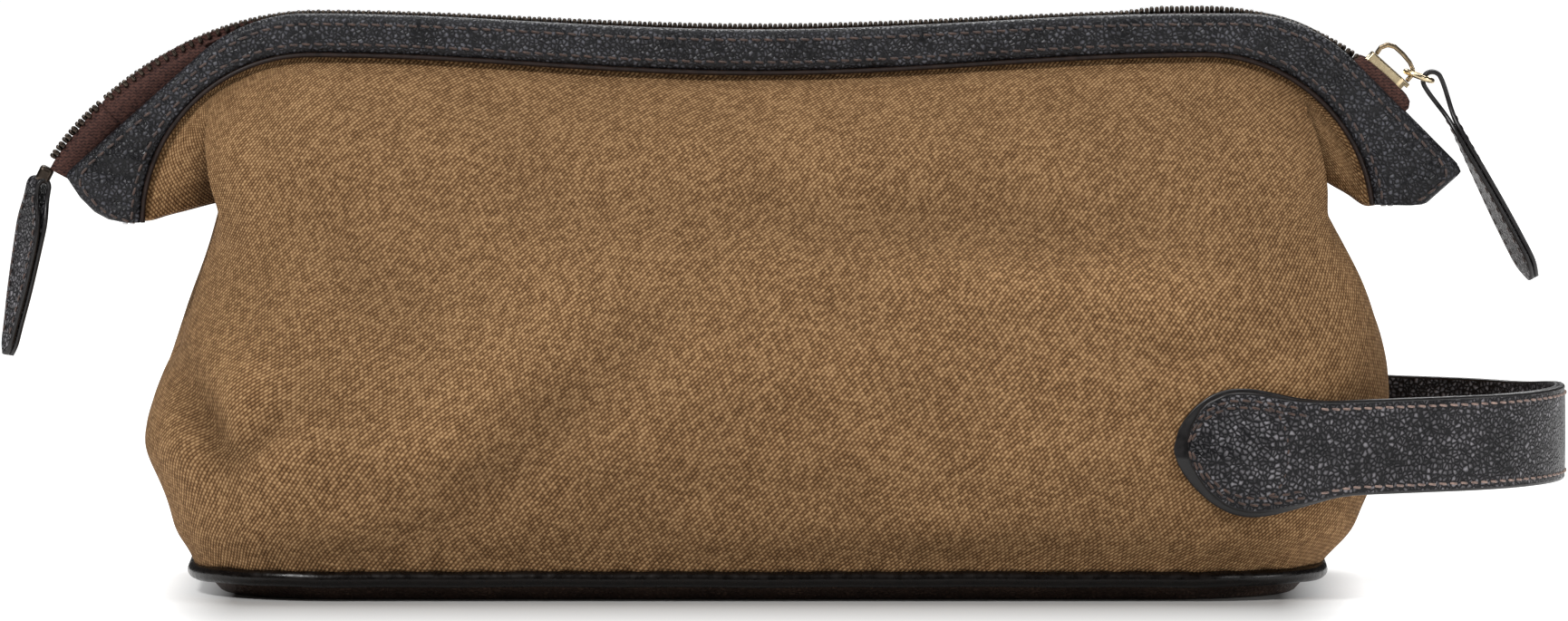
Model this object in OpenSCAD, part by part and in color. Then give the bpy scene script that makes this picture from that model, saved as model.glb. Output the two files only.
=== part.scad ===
// Framed wash bag: twill body on a leather base, a hinged spring-steel mouth frame cased in
// leather, a zip along the mouth with a slider, ring and leather pull, and a side carry strap.
// Frame: X along the zip, -Y the front, +Z up. Origin at the middle of the underside.

/* [Body] */
// Half length of the body at the base seam
base_half_len = 123.6; // [122:0.2:125]
// Half depth of the body at the base seam
base_half_depth = 54.2; // [53:0.2:56]
// Half length of the body at its widest, on the strap's side
belly_right = 139.4; // [137:0.2:140]
// Half length of the body at its widest, on the other side
belly_left = 135.2; // [133:0.2:137]
// Half depth of the body at its widest
belly_half_depth = 61; // [59:0.5:62]
// Height of the widest part
belly_z = 32; // [30:1:34]
// Thickness of the twill
twill_t = 1.2; // [0.8:0.1:1.4]
// Thickness of the lining
lining_t = 0.6; // [0.4:0.1:0.8]

/* [Base] */
// Outer radius of the leather piping round the base
piping_r = 1.8; // [1.5:0.1:1.9]
// Height of the piping's centre
piping_z = 4.9; // [4.8:0.1:5.0]
// Thickness of the stiffening board
board_t = 2; // [1.6:0.1:2.0]

/* [Mouth frame] */
// Height of the hinge line at the middle
hinge_z = 83.5; // [83:0.5:84]
// How much higher the hinge is at the strap's end than at the other
hinge_rise = 4; // [3:0.5:4]
// Half distance between the centres of the shoulder arcs
shoulder_x = 98.5; // [98:0.5:99]
// Height of the centres of the shoulder arcs
shoulder_z = 80; // [79:0.5:80]
// Radius of the lower edge of the leather trim
seam_r = 37.5; // [37:0.5:38]
// How far the top bar dips in the middle
top_sag = 4; // [2:0.5:5]
// Thickness of the spring-steel strip
strip_t = 1.2; // [1.0:0.1:1.2]
// Radius of the hinge rivet
rivet_r = 1; // [0.8:0.05:1.1]
// Thickness of the trim leather
trim_t = 1.4; // [1.2:0.1:1.4]

/* [Zip] */
// Distance from tooth to tooth on one side
tooth_pitch = 2.2; // [2.0:0.1:2.6]
// Height of the tooth row
tooth_h = 2.4; // [2.0:0.1:2.4]
// Height of the tooth row at the shoulders
ridge_z = 127; // [126.8:0.1:127.2]
// How far the tooth row dips in the middle
ridge_sag = 3; // [2:0.5:4]
// Length of the slider
slider_len = 11; // [10:0.5:11]
// Length of the leather pull
pull_len = 49; // [40:1:50]
// Length of the leather tab on the zip's closed end
tab_len = 38; // [34:1:42]

/* [Strap] */
// Height of the strap's centre line
strap_z = 33.3; // [32:0.5:35]
// Width of the strap
strap_w = 21.8; // [20:0.5:22]
// Furthest point of the strap's loop
strap_reach = 178.4; // [174:0.5:180]

/* [Hidden] */
$fn = 48;

gap = 0.3;              // clearance between neighbouring pieces
neck_z = 80;            // height at which the folding top of the body starts
seam_y = 5.9;           // distance of the twill's top edge from the middle plane
tuck_f = [0.05, 0.02];  // where the folding twill starts right and left, as shares of a quarter
trim_face_y = 8;        // front face of the trim
trim_in_y = 4.8;        // inner edge of the trim's top flange
trim_top_z = 126;       // top edge of the trim at the shoulders
tape_y = 1.1;           // distance of a zip tape from the middle plane
tape_t = 0.6;
leather_dark = "#2b2a2f";
twill = "#8a6a46";
brass = "#d8b25c";

// Body outline at each height: half length to each side, half depth and corner radius.
len_right = [[7, base_half_len], [12, 130.4], [20, belly_right - 4], [belly_z, belly_right - 0.6],
    [40, belly_right], [47, belly_right - 0.4], [58, 136.2], [68, 132], [neck_z, 126]];
len_left = [[7, base_half_len], [12, 127.8], [20, belly_left - 4.2], [belly_z, belly_left],
    [42, belly_left - 1.8], [58, 126.6], [68, 123.2], [neck_z, 120.4]];
half_depth = [[7, base_half_depth], [16, 58.5], [belly_z, belly_half_depth], [50, 58],
    [66, 51.5], [neck_z, 43]];
corner_r = [[7, 30], [16, 34], [belly_z, 38], [50, 38], [66, 36], [neck_z, 33]];

function mix(a, b, t) = a + (b - a) * t;
function ease(t) = let(c = max(0, min(1, t))) c * c * (3 - 2 * c);
function steps(a, b, n) = [for (i = [0:n]) a + (b - a) * i / n];

// ---- Soft body ----------------------------------------------------------

f_end = 0.15;           // share of a quarter outline that is the straight end
f_arc = 0.43;           // share at which the corner arc ends
f_leg = 0.375;          // share of the mouth seam that is the leg and shoulder

// Point of a quarter outline, f from 0 at the middle of the end to 1 at the middle of the front.
function outline(L, D, r, f) =
    f < f_end ? [L, -(D - r) * f / f_end]
    : f < f_arc ? let(a = 90 * (f - f_end) / (f_arc - f_end))
        [L - r + r * cos(a), -(D - r) - r * sin(a)]
    : [(L - r) * (1 - f) / (1 - f_arc), -D];

// Groove down the middle of each end, where the gusset folds in.
function groove(y, z) = 9 * exp(-pow(y / 9, 2)) * ease((z - 45) / 35);

// Point on the body wall at height z, moved inwards by d; lens is the side's table of lengths.
function wall_q(f, z, d, lens) =
    let(p = outline(lookup(z, lens) - d, lookup(z, half_depth) - d,
            lookup(z, corner_r) - d, f))
    [p[0] - groove(p[1], z), min(p[1], -0.1), z];

// Point on the mouth seam at radius r about the shoulder centre.
function seam_q(f, r, y) =
    f < f_leg ? let(a = 90 * f / f_leg)
        [shoulder_x + r * cos(a), -y, shoulder_z + r * sin(a)]
    : let(x = shoulder_x * (1 - f) / (1 - f_leg)) [x, -y, arch_top(x, r)];

function arch_top(x, r) = shoulder_z + r - top_sag * (1 + cos(180 * x / shoulder_x)) / 2;

// Point on the folding top, t from 0 at the neck to 1 at the mouth seam. From under_t on it
// runs up behind the trim.
under_t = 0.9;
function top_q(f, t, d, lens) =
    let(n = wall_q(f, neck_z, d, lens), k = min(1, t / under_t),
        s = seam_q(f, seam_r - 1.6, seam_y + 0.2 - d), up = seam_q(f, seam_r + 0.9, seam_y - d),
        tuck = 16 * pow(max(0, 1 - f / 0.34), 2) * sin(180 * pow(k, 0.8)),
        swell = 3 * sin(180 * k) * ease((f - 0.2) / 0.2))
    mix([mix(n[0], s[0], k) - tuck, mix(n[1], s[1], k) - swell, mix(n[2], s[2], k) + swell],
        up, max(0, t - under_t) / (1 - under_t));

// u runs from 0 at the right end, over 1 at the middle of the front, to 2 at the left end.
function flip(p) = [-p[0], p[1], p[2]];
function wall(u, z, d) = u > 1 ? flip(wall_q(2 - u, z, d, len_left))
    : wall_q(u, z, d, len_right);
function top(u, t, d) = u > 1 ? flip(top_q(2 - u, t, d, len_left))
    : top_q(u, t, d, len_right);

// Closed solid between two grids of points, outer facing away from the bag.
module sheet(outer, inner) {
    n = len(outer);
    m = len(outer[0]);
    k = n * m;
    rim = concat([for (j = [0:m - 1]) j], [for (i = [1:n - 1]) i * m + m - 1],
        [for (j = [m - 2:-1:0]) (n - 1) * m + j], [for (i = [n - 2:-1:1]) i * m]);
    faces = concat(
        [for (i = [0:n - 2], j = [0:m - 2]) let(a = i * m + j)
            each [[a, a + m, a + m + 1], [a, a + m + 1, a + 1]]],
        [for (i = [0:n - 2], j = [0:m - 2]) let(a = k + i * m + j)
            each [[a, a + m + 1, a + m], [a, a + 1, a + m + 1]]],
        [for (i = [0:len(rim) - 1]) let(a = rim[i], b = rim[(i + 1) % len(rim)])
            each [[a, b, b + k], [a, b + k, a + k]]]);
    polyhedron(concat([for (r = outer) each r], [for (r = inner) each r]), faces);
}

quarter = concat(steps(0, f_end, 3), [for (i = [1:7]) mix(f_end, f_arc, i / 7)],
    [for (i = [1:4]) mix(f_arc, 1, i / 4)]);
around = concat(quarter, [for (i = [len(quarter) - 2:-1:0]) 2 - quarter[i]]);
function top_quarter(f0) = concat(steps(f0, f_arc, 9), [for (i = [1:5]) mix(f_arc, 1, i / 5)]);
top_around = let(q = top_quarter(tuck_f[1])) concat(top_quarter(tuck_f[0]),
    [for (i = [len(q) - 2:-1:0]) 2 - q[i]]);
levels = [6.8, 9.5, 12, 16, 20, 26, 32, 40, 47, 53, 58, 63, 68, 74, neck_z - 0.1];

module wall_half(d, t, from_z) {
    zs = concat([from_z], [for (z = levels) if (z > from_z + 1) z]);
    sheet([for (z = zs) [for (u = around) wall(u, z, d)]],
        [for (z = zs) [for (u = around) wall(u, z, d + t)]]);
}

module top_half(d, t) {
    ts = concat(steps(0.02, under_t, 7), [1]);
    sheet([for (k = ts) [for (u = top_around) top(u, k, d)]],
        [for (k = ts) [for (u = top_around) top(u, k, d + t)]]);
}

module to_back() {
    mirror([0, 1, 0]) children();
}

lining_in = twill_t + 0.9;

module canvas_front() { color(twill) wall_half(0, twill_t, levels[0]); }
module canvas_back() { color(twill) to_back() wall_half(0, twill_t, levels[0]); }
module canvas_top_front() { color(twill) top_half(0, twill_t - 0.2); }
module canvas_top_back() { color(twill) to_back() top_half(0, twill_t - 0.2); }
module lining_front() { color("#6b5a45") wall_half(lining_in, lining_t, 4.8); }
module lining_back() { color("#6b5a45") to_back() wall_half(lining_in, lining_t, 4.8); }
module lining_top_front() { color("#6b5a45") top_half(twill_t + 0.4, lining_t - 0.1); }
module lining_top_back() { color("#6b5a45") to_back() top_half(twill_t + 0.4, lining_t - 0.1); }

// ---- Base ---------------------------------------------------------------

module slab(half_x, half_y, r, z, t) {
    translate([0, 0, z]) linear_extrude(t) union() {
        square([2 * half_x, 2 * (half_y - r)], center = true);
        square([2 * (half_x - r), 2 * half_y], center = true);
        for (x = [-1, 1], y = [-1, 1])
            translate([x * (half_x - r), y * (half_y - r)]) circle(r);
    }
}

foot_in = 6.6;          // how far the flat underside stops short of the base seam
tray_r = 27;

module base_leather() {
    color("#3a2a24") difference() {
        hull() {
            slab(base_half_len - foot_in, base_half_depth - foot_in, tray_r, 0, 0.4, $fn = 32);
            slab(base_half_len - 2.4, base_half_depth - 2.4, tray_r + 2, 2.6, 0.4, $fn = 32);
        }
        slab(base_half_len - foot_in + 0.6, base_half_depth - foot_in + 0.6, tray_r, 1.6, 3);
    }
}

module base_board() {
    color("#9c8a6c")
        slab(base_half_len - foot_in, base_half_depth - foot_in, tray_r - 0.5, 1.7, board_t);
}

module lining_floor() {
    color("#6b5a45") slab(base_half_len - 4, base_half_depth - 4, 27, 4, lining_t);
}

// Round tube, or solid rod if r_in is 0, along the base seam.
module seam_ring(r_out, r_in) {
    x = base_half_len - 30.2;
    y = base_half_depth - 30.2;
    module section() {
        difference() {
            circle(r_out);
            if (r_in > 0) circle(r_in);
        }
    }
    translate([0, 0, piping_z]) {
        for (k = [0:3]) {
            sx = (k == 0 || k == 3) ? 1 : -1;
            sy = k < 2 ? 1 : -1;
            translate([sx * x, sy * y, 0]) rotate([0, 0, 90 * k])
                rotate_extrude(angle = 90) translate([30, 0]) section();
        }
        for (s = [-1, 1]) {
            translate([-x, s * (y + 30), 0]) rotate([0, 90, 0])
                linear_extrude(2 * x) section();
            translate([s * (x + 30), y, 0]) rotate([90, 0, 0])
                linear_extrude(2 * y) section();
        }
    }
}

module base_piping() { color("#17120f") seam_ring(piping_r, 1.1); }
module piping_cord() { color("#d8d0c0") seam_ring(1, 0); }

// ---- Mouth frame --------------------------------------------------------

// Points of the arch at radius r, from the left leg over the top to the right leg.
function arch(r, low_left, low_right) = concat(
    [for (a = steps(low_left, 90, 18)) [-shoulder_x - r * cos(a), shoulder_z + r * sin(a)]],
    [for (x = steps(-shoulder_x, shoulder_x, 24)) if (abs(x) < shoulder_x - 1)
        [x, arch_top(x, r)]],
    [for (a = steps(90, low_right, 18)) [shoulder_x + r * cos(a), shoulder_z + r * sin(a)]]);

function reversed(v) = [for (i = [len(v) - 1:-1:0]) v[i]];

// Extrudes a drawing made in X and Z from the front plane y0 back by t.
module upright(y0, t) {
    translate([0, y0 + t, 0]) rotate([90, 0, 0]) linear_extrude(t) children();
}

strip_w = 3.6;          // width of the spring strip, across the mouth
strip_y = 2.7;          // distance of the strip from the middle plane
eye_r = 2.4;
front_r = 38.9;         // inner radii of the two strips' shoulders
back_r = 40.4;
hinge_span = 2 * (shoulder_x + back_r);
hinge_tilt = atan(hinge_rise / hinge_span);
leg_low = 8;            // angle at which the strip's arch ends beside the hinge

function hinge_at(x) = hinge_z + x * hinge_rise / hinge_span;

// Places children at the middle of the hinge line, with Z along it.
module hinge_line() {
    translate([0, 0, hinge_z]) rotate([0, 90 - hinge_tilt, 0]) children();
}

module strip(r) {
    eye_x = shoulder_x + r + strip_t / 2;
    difference() {
        union() {
            upright(-strip_y - strip_w, strip_w)
                polygon(concat(arch(r, leg_low, leg_low),
                    reversed(arch(r + strip_t, leg_low, leg_low))));
            for (s = [-1, 1])
                translate([s * eye_x, 0, hinge_at(s * eye_x)])
                    rotate([90, 0, 90]) translate([0, 0, -strip_t / 2])
                        linear_extrude(strip_t) {
                            circle(eye_r);
                            polygon([[-strip_y - strip_w, 4.6], [-strip_y - strip_w, 2.6],
                                [-1, 0.6 - eye_r], [1, eye_r - 0.4], [-strip_y, 4.6]]);
                        }
        }
        hinge_line() cylinder(400, r = rivet_r + 0.06, center = true);
    }
}

module frame_strip_front() { color("silver") strip(front_r); }
module frame_strip_back() { color("silver") to_back() strip(back_r); }

// Headed rivet through both strips' eyes. side is 1 on the right and -1 on the left.
module hinge_rivet(side) {
    head_r = 1.9;
    head_t = 0.6;
    inside = shoulder_x + front_r - gap - head_t;
    outside = shoulder_x + back_r + strip_t + gap;
    long = outside - inside + head_t;
    color("silver") hinge_line() {
        translate([0, 0, side > 0 ? inside : -inside - long]) cylinder(long, r = rivet_r);
        for (x = [inside, outside])
            translate([0, 0, side > 0 ? x : -x - head_t]) cylinder(head_t, r = head_r);
    }
}

module hinge_rivet_left() { hinge_rivet(-1); }
module hinge_rivet_right() { hinge_rivet(1); }

// Outline of the trim's outer edge in X and Z, from the middle of the top to the leg.
trim_arc_r = 35;
function trim_half(arc_x) = concat(
    [for (x = steps(0, shoulder_x, 10)) [x, trim_top_z
        - (top_sag - 0.5) * (1 + cos(180 * x / shoulder_x)) / 2]],
    [for (a = steps(90, 45, 8)) [arc_x + trim_arc_r * cos(a),
        trim_top_z - trim_arc_r + trim_arc_r * sin(a)]]);
trim_right = concat(trim_half(106.5), [[155.2, 91.6], [147, 83.9], [142, 83.7]]);
trim_left = concat(trim_half(99.5), [[152.5, 90.6], [149.2, 85.4], [146, 82.2], [143, 80.6],
    [139, 79.9]]);
trim_outer = concat([for (p = reversed(trim_left)) [-p[0], p[1]]], trim_right);
trim_low = [0, 6];      // angles at which the trim's legs end, left and right

module trim_shape() {
    polygon(concat(trim_outer, reversed(arch(seam_r, trim_low[0], trim_low[1]))));
}

// Front face of leather, turned in along its outer edge towards the zip.
module trim() {
    rim = 1.2;
    color(leather_dark) {
        upright(-trim_face_y, trim_t) trim_shape();
        upright(-trim_face_y + trim_t - 0.01, trim_face_y - trim_t - trim_in_y)
            intersection() {
                trim_shape();
                difference() {
                    translate([-170, 89]) square([340, 60]);
                    offset(delta = -rim) polygon(concat(trim_outer, [[146, 60], [-146, 60]]));
                }
            }
    }
}

module trim_front() { trim(); }
module trim_back() { to_back() trim(); }

module trim_edge() {
    color("#0c0a0a") upright(-trim_face_y - 0.2, trim_t)
        polygon(concat(arch(seam_r - 1.1, trim_low[0], trim_low[1]),
            reversed(arch(seam_r - 0.15, trim_low[0], trim_low[1]))));
}

module trim_edge_front() { trim_edge(); }
module trim_edge_back() { to_back() trim_edge(); }

// ---- Zip ----------------------------------------------------------------

// The tooth row runs from the tail on the left, down a round shoulder each side.
left_x = -98.5;
left_r = 66;
right_x = 98.5;
right_r = 59;
tail_end = 62;          // angles from the top, where the tail ends and starts
tail_top = 46;
teeth_end = 36;         // angle at which the row stops short of the parked slider
ridge_end = 51;
park = 42;              // angle of the parked slider

function ridge_top(x) = let(m = (left_x + right_x) / 2, h = (right_x - left_x) / 2)
    ridge_z - ridge_sag * (1 + cos(180 * (x - m) / h)) / 2;
function on_left(a, n) = [left_x - (left_r + n) * sin(a), ridge_z - left_r + (left_r + n) * cos(a)];
function on_right(a, n) = [right_x + (right_r + n) * sin(a),
    ridge_z - right_r + (right_r + n) * cos(a)];
function ridge(n, a_left, a_right) = concat(
    [for (a = steps(a_left, 0, 12)) on_left(a, n)],
    [for (x = steps(left_x, right_x, 20)) if (x > left_x + 1 && x < right_x - 1)
        [x, ridge_top(x) + n]],
    [for (a = steps(0, a_right, 12)) on_right(a, n)]);

tape_deep = 12;
under_teeth = tooth_h / 2 + gap;

module tape(a_left, a_right) {
    color("#3c2b28") upright(-tape_y - tape_t, tape_t) difference() {
        polygon(concat(ridge(-under_teeth, a_left, a_right),
            reversed(ridge(-tape_deep, a_left, a_right))));
        polygon(concat([for (a = steps(teeth_end - 1, ridge_end + 1, 8)) on_right(a, 5)],
            [for (a = steps(ridge_end + 1, teeth_end - 1, 8)) on_right(a, -3.6)]));
    }
}

module zip_tape_front() { tape(tail_top - 0.4, ridge_end); }
module zip_tape_back() { to_back() tape(tail_top - 0.4, ridge_end); }

module zip_tail_tape() {
    color("#3c2b28") for (s = [-1, 1])
        upright(s * (tape_y + tape_t / 2) - tape_t / 2, tape_t)
            polygon(concat([for (a = steps(tail_end, tail_top, 6)) on_left(a, -under_teeth)],
                [for (a = steps(tail_top, tail_end, 6))
                    on_left(a, -mix(8, tape_deep - 2.5, (tail_end - a) / (tail_end - tail_top)))]));
}

tooth_w = 3.4;          // across the mouth
tooth_l = 0.9;          // along the row
tooth_y = 2.3;          // outer face of a tooth from the middle plane

module tooth() {
    translate([-tooth_l / 2, -tooth_y, -tooth_h / 2]) cube([tooth_l, tooth_w, tooth_h]);
}

function along_left(n) = n * tooth_pitch / left_r * 180 / PI;
function along_right(n) = n * tooth_pitch / right_r * 180 / PI;

// The teeth of one side. phase 0 or 0.5 sets them between those of the other side.
module teeth(phase) {
    run = right_x - left_x;
    n_top = floor(run / tooth_pitch);
    step = run / n_top;
    color("#2a201c") {
        for (i = [0:n_top - 1]) {
            x = left_x + (i + phase + 0.25) * step;
            tilt = (ridge_top(x - 1) - ridge_top(x + 1)) / 2 * 180 / PI;
            translate([x, 0, ridge_top(x)]) rotate([0, tilt, 0]) tooth();
        }
        for (i = [0:60]) {
            a = along_left(i + 0.75 - phase);
            if (a < tail_top - 1) let(p = on_left(a, 0))
                translate([p[0], 0, p[1]]) rotate([0, -a, 0]) tooth();
            b = along_right(i + 0.25 + phase);
            if (b < teeth_end - 1) let(p = on_right(b, 0))
                translate([p[0], 0, p[1]]) rotate([0, b, 0]) tooth();
        }
    }
}

module zip_teeth_front() { teeth(0); }
module zip_teeth_back() { to_back() teeth(0.5); }

module zip_tail_teeth() {
    color("#2a201c") for (i = [0:60], side = [0, 1]) {
        a = along_left(i + 0.75 - side / 2);
        if (a > tail_top && a < tail_end - 1.5) let(p = on_left(a, 0))
            translate([p[0], 0, p[1]]) rotate([0, -a, 0])
                if (side == 0) tooth();
                else to_back() tooth();
    }
}

module zip_bottom_stop() {
    p = on_left(tail_end + 1.6, -0.4);
    color(brass) translate([p[0], 0, p[1]]) rotate([0, -tail_end - 1.6, 0])
        cube([3.6, 5.2, 3.2], center = true);
}

module top_stop() {
    p = on_right(ridge_end - 1, -5.2);
    color(brass) translate([p[0], -2.25, p[1]]) rotate([0, ridge_end, 0])
        cube([1.6, 0.8, 2.6], center = true);
}

module zip_top_stop_front() { top_stop(); }
module zip_top_stop_back() { to_back() top_stop(); }

// ---- Slider, ring and pull ----------------------------------------------

// Places children at the parked slider: X down the slope, Z out of the tooth row.
module parked() {
    p = on_right(park, 0);
    translate([p[0], 0, p[1]]) rotate([0, park, 0]) children();
}

slider_w = 8.4;
channel_w = 5.5;
slot_w = 4.2;

module slider_body() {
    color(brass) parked() difference() {
        translate([-slider_len / 2, -slider_w / 2, -2.7]) cube([slider_len, slider_w, 5.2]);
        translate([-slider_len, -channel_w / 2, -1.7])
            cube([2 * slider_len, channel_w, 3.2]);
        translate([-slider_len, -slot_w / 2, -5]) cube([2 * slider_len, slot_w, 4]);
        for (s = [-1, 1]) translate([slider_len / 2, s * slider_w / 2, -5])
            rotate([0, 0, 45]) cube([3, 3, 20], center = true);
    }
}

bail_w = 2;
module slider_bail() {
    color(brass) parked() translate([0, bail_w / 2, 0]) rotate([90, 0, 0])
        linear_extrude(bail_w) polygon([[-5, 2.6], [-5.2, 4.4], [-4.4, 6.2], [-2.6, 7],
            [0, 7], [2.4, 6.6], [4.2, 5.8], [5, 4.4], [5, 2.6], [4, 2.6], [4, 4.2],
            [3.5, 5.1], [2, 5.7], [-0.2, 6], [-2.4, 6], [-3.6, 5.4], [-4.2, 4.2], [-4, 2.6]]);
}

ring_r = 3.1;
ring_wire = 0.6;
ring_dip = 20;          // how far the ring points below the level
ring_at = [2.9, 0, 4.1];     // the ring's near wire, in the slider's own directions
pull_lean = 27.3;       // the pull's lean from the plumb line

ridge_park = on_right(park, 0);
ring_pivot = [ridge_park[0] + ring_at[0] * cos(park) + ring_at[2] * sin(park), 0,
    ridge_park[1] - ring_at[0] * sin(park) + ring_at[2] * cos(park)];
pull_pivot = ring_pivot + 2 * ring_r * [cos(ring_dip), 0, -sin(ring_dip)];

module pull_ring() {
    color(brass) translate(ring_pivot) rotate([0, ring_dip, 0]) translate([ring_r, 0, 0])
        rotate_extrude() translate([ring_r, 0]) circle(ring_wire, $fn = 24);
}

pull_t = 1;             // one layer of the pull's leather
eye_in = 1.5;           // inner radius of the loop round the ring
neck_w = 3.4;
pull_w = 10;

// Side view of the folded pull, hanging from its pivot along -Y of the drawing.
module pull_side() {
    outer = eye_in + pull_t;
    flat = pull_t + 0.1;
    difference() {
        polygon(concat([for (a = steps(0, 180, 16)) outer * [cos(a), sin(a)]],
            [[-flat, -12], [-flat, -pull_len], [flat, -pull_len], [flat, -12]]));
        circle(eye_in);
        polygon([[-eye_in + 0.02, 0.2], [eye_in - 0.02, 0.2], [0.1, -10.5], [-0.1, -10.5]]);
    }
}

module pull_leather() {
    color(leather_dark) translate(pull_pivot) rotate([0, -pull_lean, 0])
        intersection() {
            rotate([90, 0, 0]) linear_extrude(pull_w, center = true) pull_side();
            rotate([90, 0, 90]) linear_extrude(20, center = true)
                polygon([[-neck_w / 2, 5], [neck_w / 2, 5], [neck_w / 2, -7],
                    [pull_w / 2, -14], [pull_w / 2, -pull_len + 6], [1.5, -pull_len],
                    [-1.5, -pull_len], [-pull_w / 2, -pull_len + 6], [-pull_w / 2, -14],
                    [-neck_w / 2, -7]]);
        }
}

tab_lean = 10.5;
tab_turn = 26;          // how far the tab is turned towards the front
tab_w = 11;
tab_at = on_left(tail_end + 4.2, -0.4);

module zip_end_tab() {
    color(leather_dark) translate([tab_at[0], 0, tab_at[1]]) rotate([0, tab_lean, 0])
        rotate([0, 0, tab_turn]) intersection() {
            rotate([90, 0, 0]) linear_extrude(tab_w, center = true)
                polygon([[-2.1, -0.2], [2.1, -0.2], [2.7, -4], [2.3, -12], [1.3, -tab_len],
                    [-1.3, -tab_len], [-1.9, -12], [-2.2, -4]]);
            rotate([90, 0, 90]) linear_extrude(20, center = true)
                polygon([[-4.2, 5], [4.2, 5], [tab_w / 2, -7], [tab_w / 2, -tab_len + 6],
                    [1.5, -tab_len], [-1.5, -tab_len], [-tab_w / 2, -tab_len + 6],
                    [-tab_w / 2, -7]]);
        }
}

// ---- Carry strap --------------------------------------------------------

strap_out_t = 1.6;      // outer leather
strap_in_t = 1;         // lining leather
strap_start = 92;       // tip of the sewn end
leave_a = 28;           // angle on the body's corner at which the strap leaves it
strap_hinge_x = 141;

// Height of the sewn end above and below the strap's centre line, by distance from the tip.
end_up = [[0, 0.8], [1, 4], [2, 5.8], [4, 8.9], [6, 11], [10, 13.1], [14, 14], [20, 13.6],
    [26, 12], [33, strap_w / 2]];
end_low = [[0, -0.4], [1, 1.4], [2, 2.7], [4, 4.8], [6, 6.6], [12, 11.2], [17, 13.4], [22, 14],
    [28, 12.6], [37, strap_w / 2]];

belly_r = lookup(belly_z, corner_r);
arc_cx = lookup(strap_z, len_right) - belly_r;
arc_cy = -(belly_half_depth - belly_r);

leave_x = arc_cx + (belly_r + 0.5) * sin(leave_a);
leave_y = arc_cy - (belly_r + 0.5) * cos(leave_a);

// Front face of the body at x and z, moved outwards by d.
function front_y(x, z, d) =
    let(L = lookup(z, len_right) + d, D = lookup(z, half_depth) + d,
        r = lookup(z, corner_r) + d)
    x < L - r ? -D : -(D - r) - sqrt(max(0, r * r - pow(x - (L - r), 2)));

// The strap's line leaves the body along a tangent.
function strap_y(x, z, d) =
    x < leave_x ? min(front_y(x, z, d), front_y(x, strap_z, d) + 1)
    : leave_y - d / cos(leave_a) + 0.5 / cos(leave_a) + (x - leave_x) * tan(leave_a);

// Where the sewn end stops, hollow round the hinge line.
function end_stop(h) = strap_hinge_x - sqrt(pow(strap_w / 2 + gap, 2) - min(h * h, 118));

module strap_anchor() {
    n = 20;
    rows = [for (a = steps(-90, 90, 12)) sin(a)];
    xs = function(w, k) mix(strap_start + 0.3, end_stop(w * strap_w / 2), k / n);
    point = function(w, k, d) let(x = xs(w, k), at = x - strap_start,
            z = strap_z + mix(-lookup(at, end_low), lookup(at, end_up), (w + 1) / 2))
        [x, strap_y(x, z, d), z];
    color(leather_dark) sheet([for (w = rows) [for (k = [n:-1:0]) point(w, k, 3.1)]],
        [for (w = rows) [for (k = [n:-1:0]) point(w, k, 0.5)]]);
}

module strap_anchor_front() { strap_anchor(); }
module strap_anchor_back() { to_back() strap_anchor(); }

// The loop's inner face in plan, moved outwards by d: straight off the body, then one arc.
reach_in = strap_reach - strap_out_t - strap_in_t - 0.25;
away = [sin(leave_a), -cos(leave_a)];
nose_x = (reach_in - away * [leave_x, leave_y]) / (1 - away[0]);
nose_r = reach_in - nose_x;
loop_start = [strap_hinge_x - strap_w / 2, leave_y
    + (strap_hinge_x - strap_w / 2 - leave_x) * tan(leave_a)];
function plan(d) = let(p = loop_start + d * away) concat([p],
    [for (a = steps(leave_a - 90, 90 - leave_a, 24))
        [nose_x + (nose_r + d) * cos(a), (nose_r + d) * sin(a)]],
    [[p[0], -p[1]]]);

module loop_layer(d, t) {
    color(leather_dark) intersection() {
        translate([0, 0, strap_z - strap_w / 2]) linear_extrude(strap_w)
            polygon(concat(plan(d), reversed(plan(d + t))));
        translate([0, 100, 0]) rotate([90, 0, 0]) linear_extrude(200) union() {
            translate([strap_hinge_x, strap_z]) circle(strap_w / 2);
            translate([strap_hinge_x, strap_z - strap_w]) square([60, 2 * strap_w]);
        }
    }
}

module strap_loop_inner() { loop_layer(0.2, strap_in_t - 0.1); }
module strap_loop_outer() { loop_layer(strap_in_t + 0.15, strap_out_t - 0.1); }

base_leather();
base_board();
base_piping();
piping_cord();
canvas_front();
canvas_back();
canvas_top_front();
canvas_top_back();
lining_front();
lining_back();
lining_floor();
lining_top_front();
lining_top_back();
hinge_rivet_left();
hinge_rivet_right();
strap_anchor_front();
strap_anchor_back();
zip_tail_tape();
zip_tail_teeth();
zip_bottom_stop();
frame_strip_front();
trim_front();
trim_edge_front();
zip_tape_front();
zip_teeth_front();
zip_top_stop_front();
frame_strip_back();
trim_back();
trim_edge_back();
zip_tape_back();
zip_teeth_back();
zip_top_stop_back();
slider_body();
slider_bail();
pull_ring();
pull_leather();
zip_end_tab();
strap_loop_outer();
strap_loop_inner();
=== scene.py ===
"""Looks of a framed wash bag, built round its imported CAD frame. Lengths in the code are in
millimetres unless a name says otherwise; meshes are written in metres."""

from functools import partialmethod  # noqa: E402
from math import asin, cos, degrees, exp, pi, radians, sin  # noqa: E402

import bmesh  # noqa: E402
import bpy  # noqa: E402
import numpy as np  # noqa: E402
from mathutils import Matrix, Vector  # noqa: E402


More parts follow.
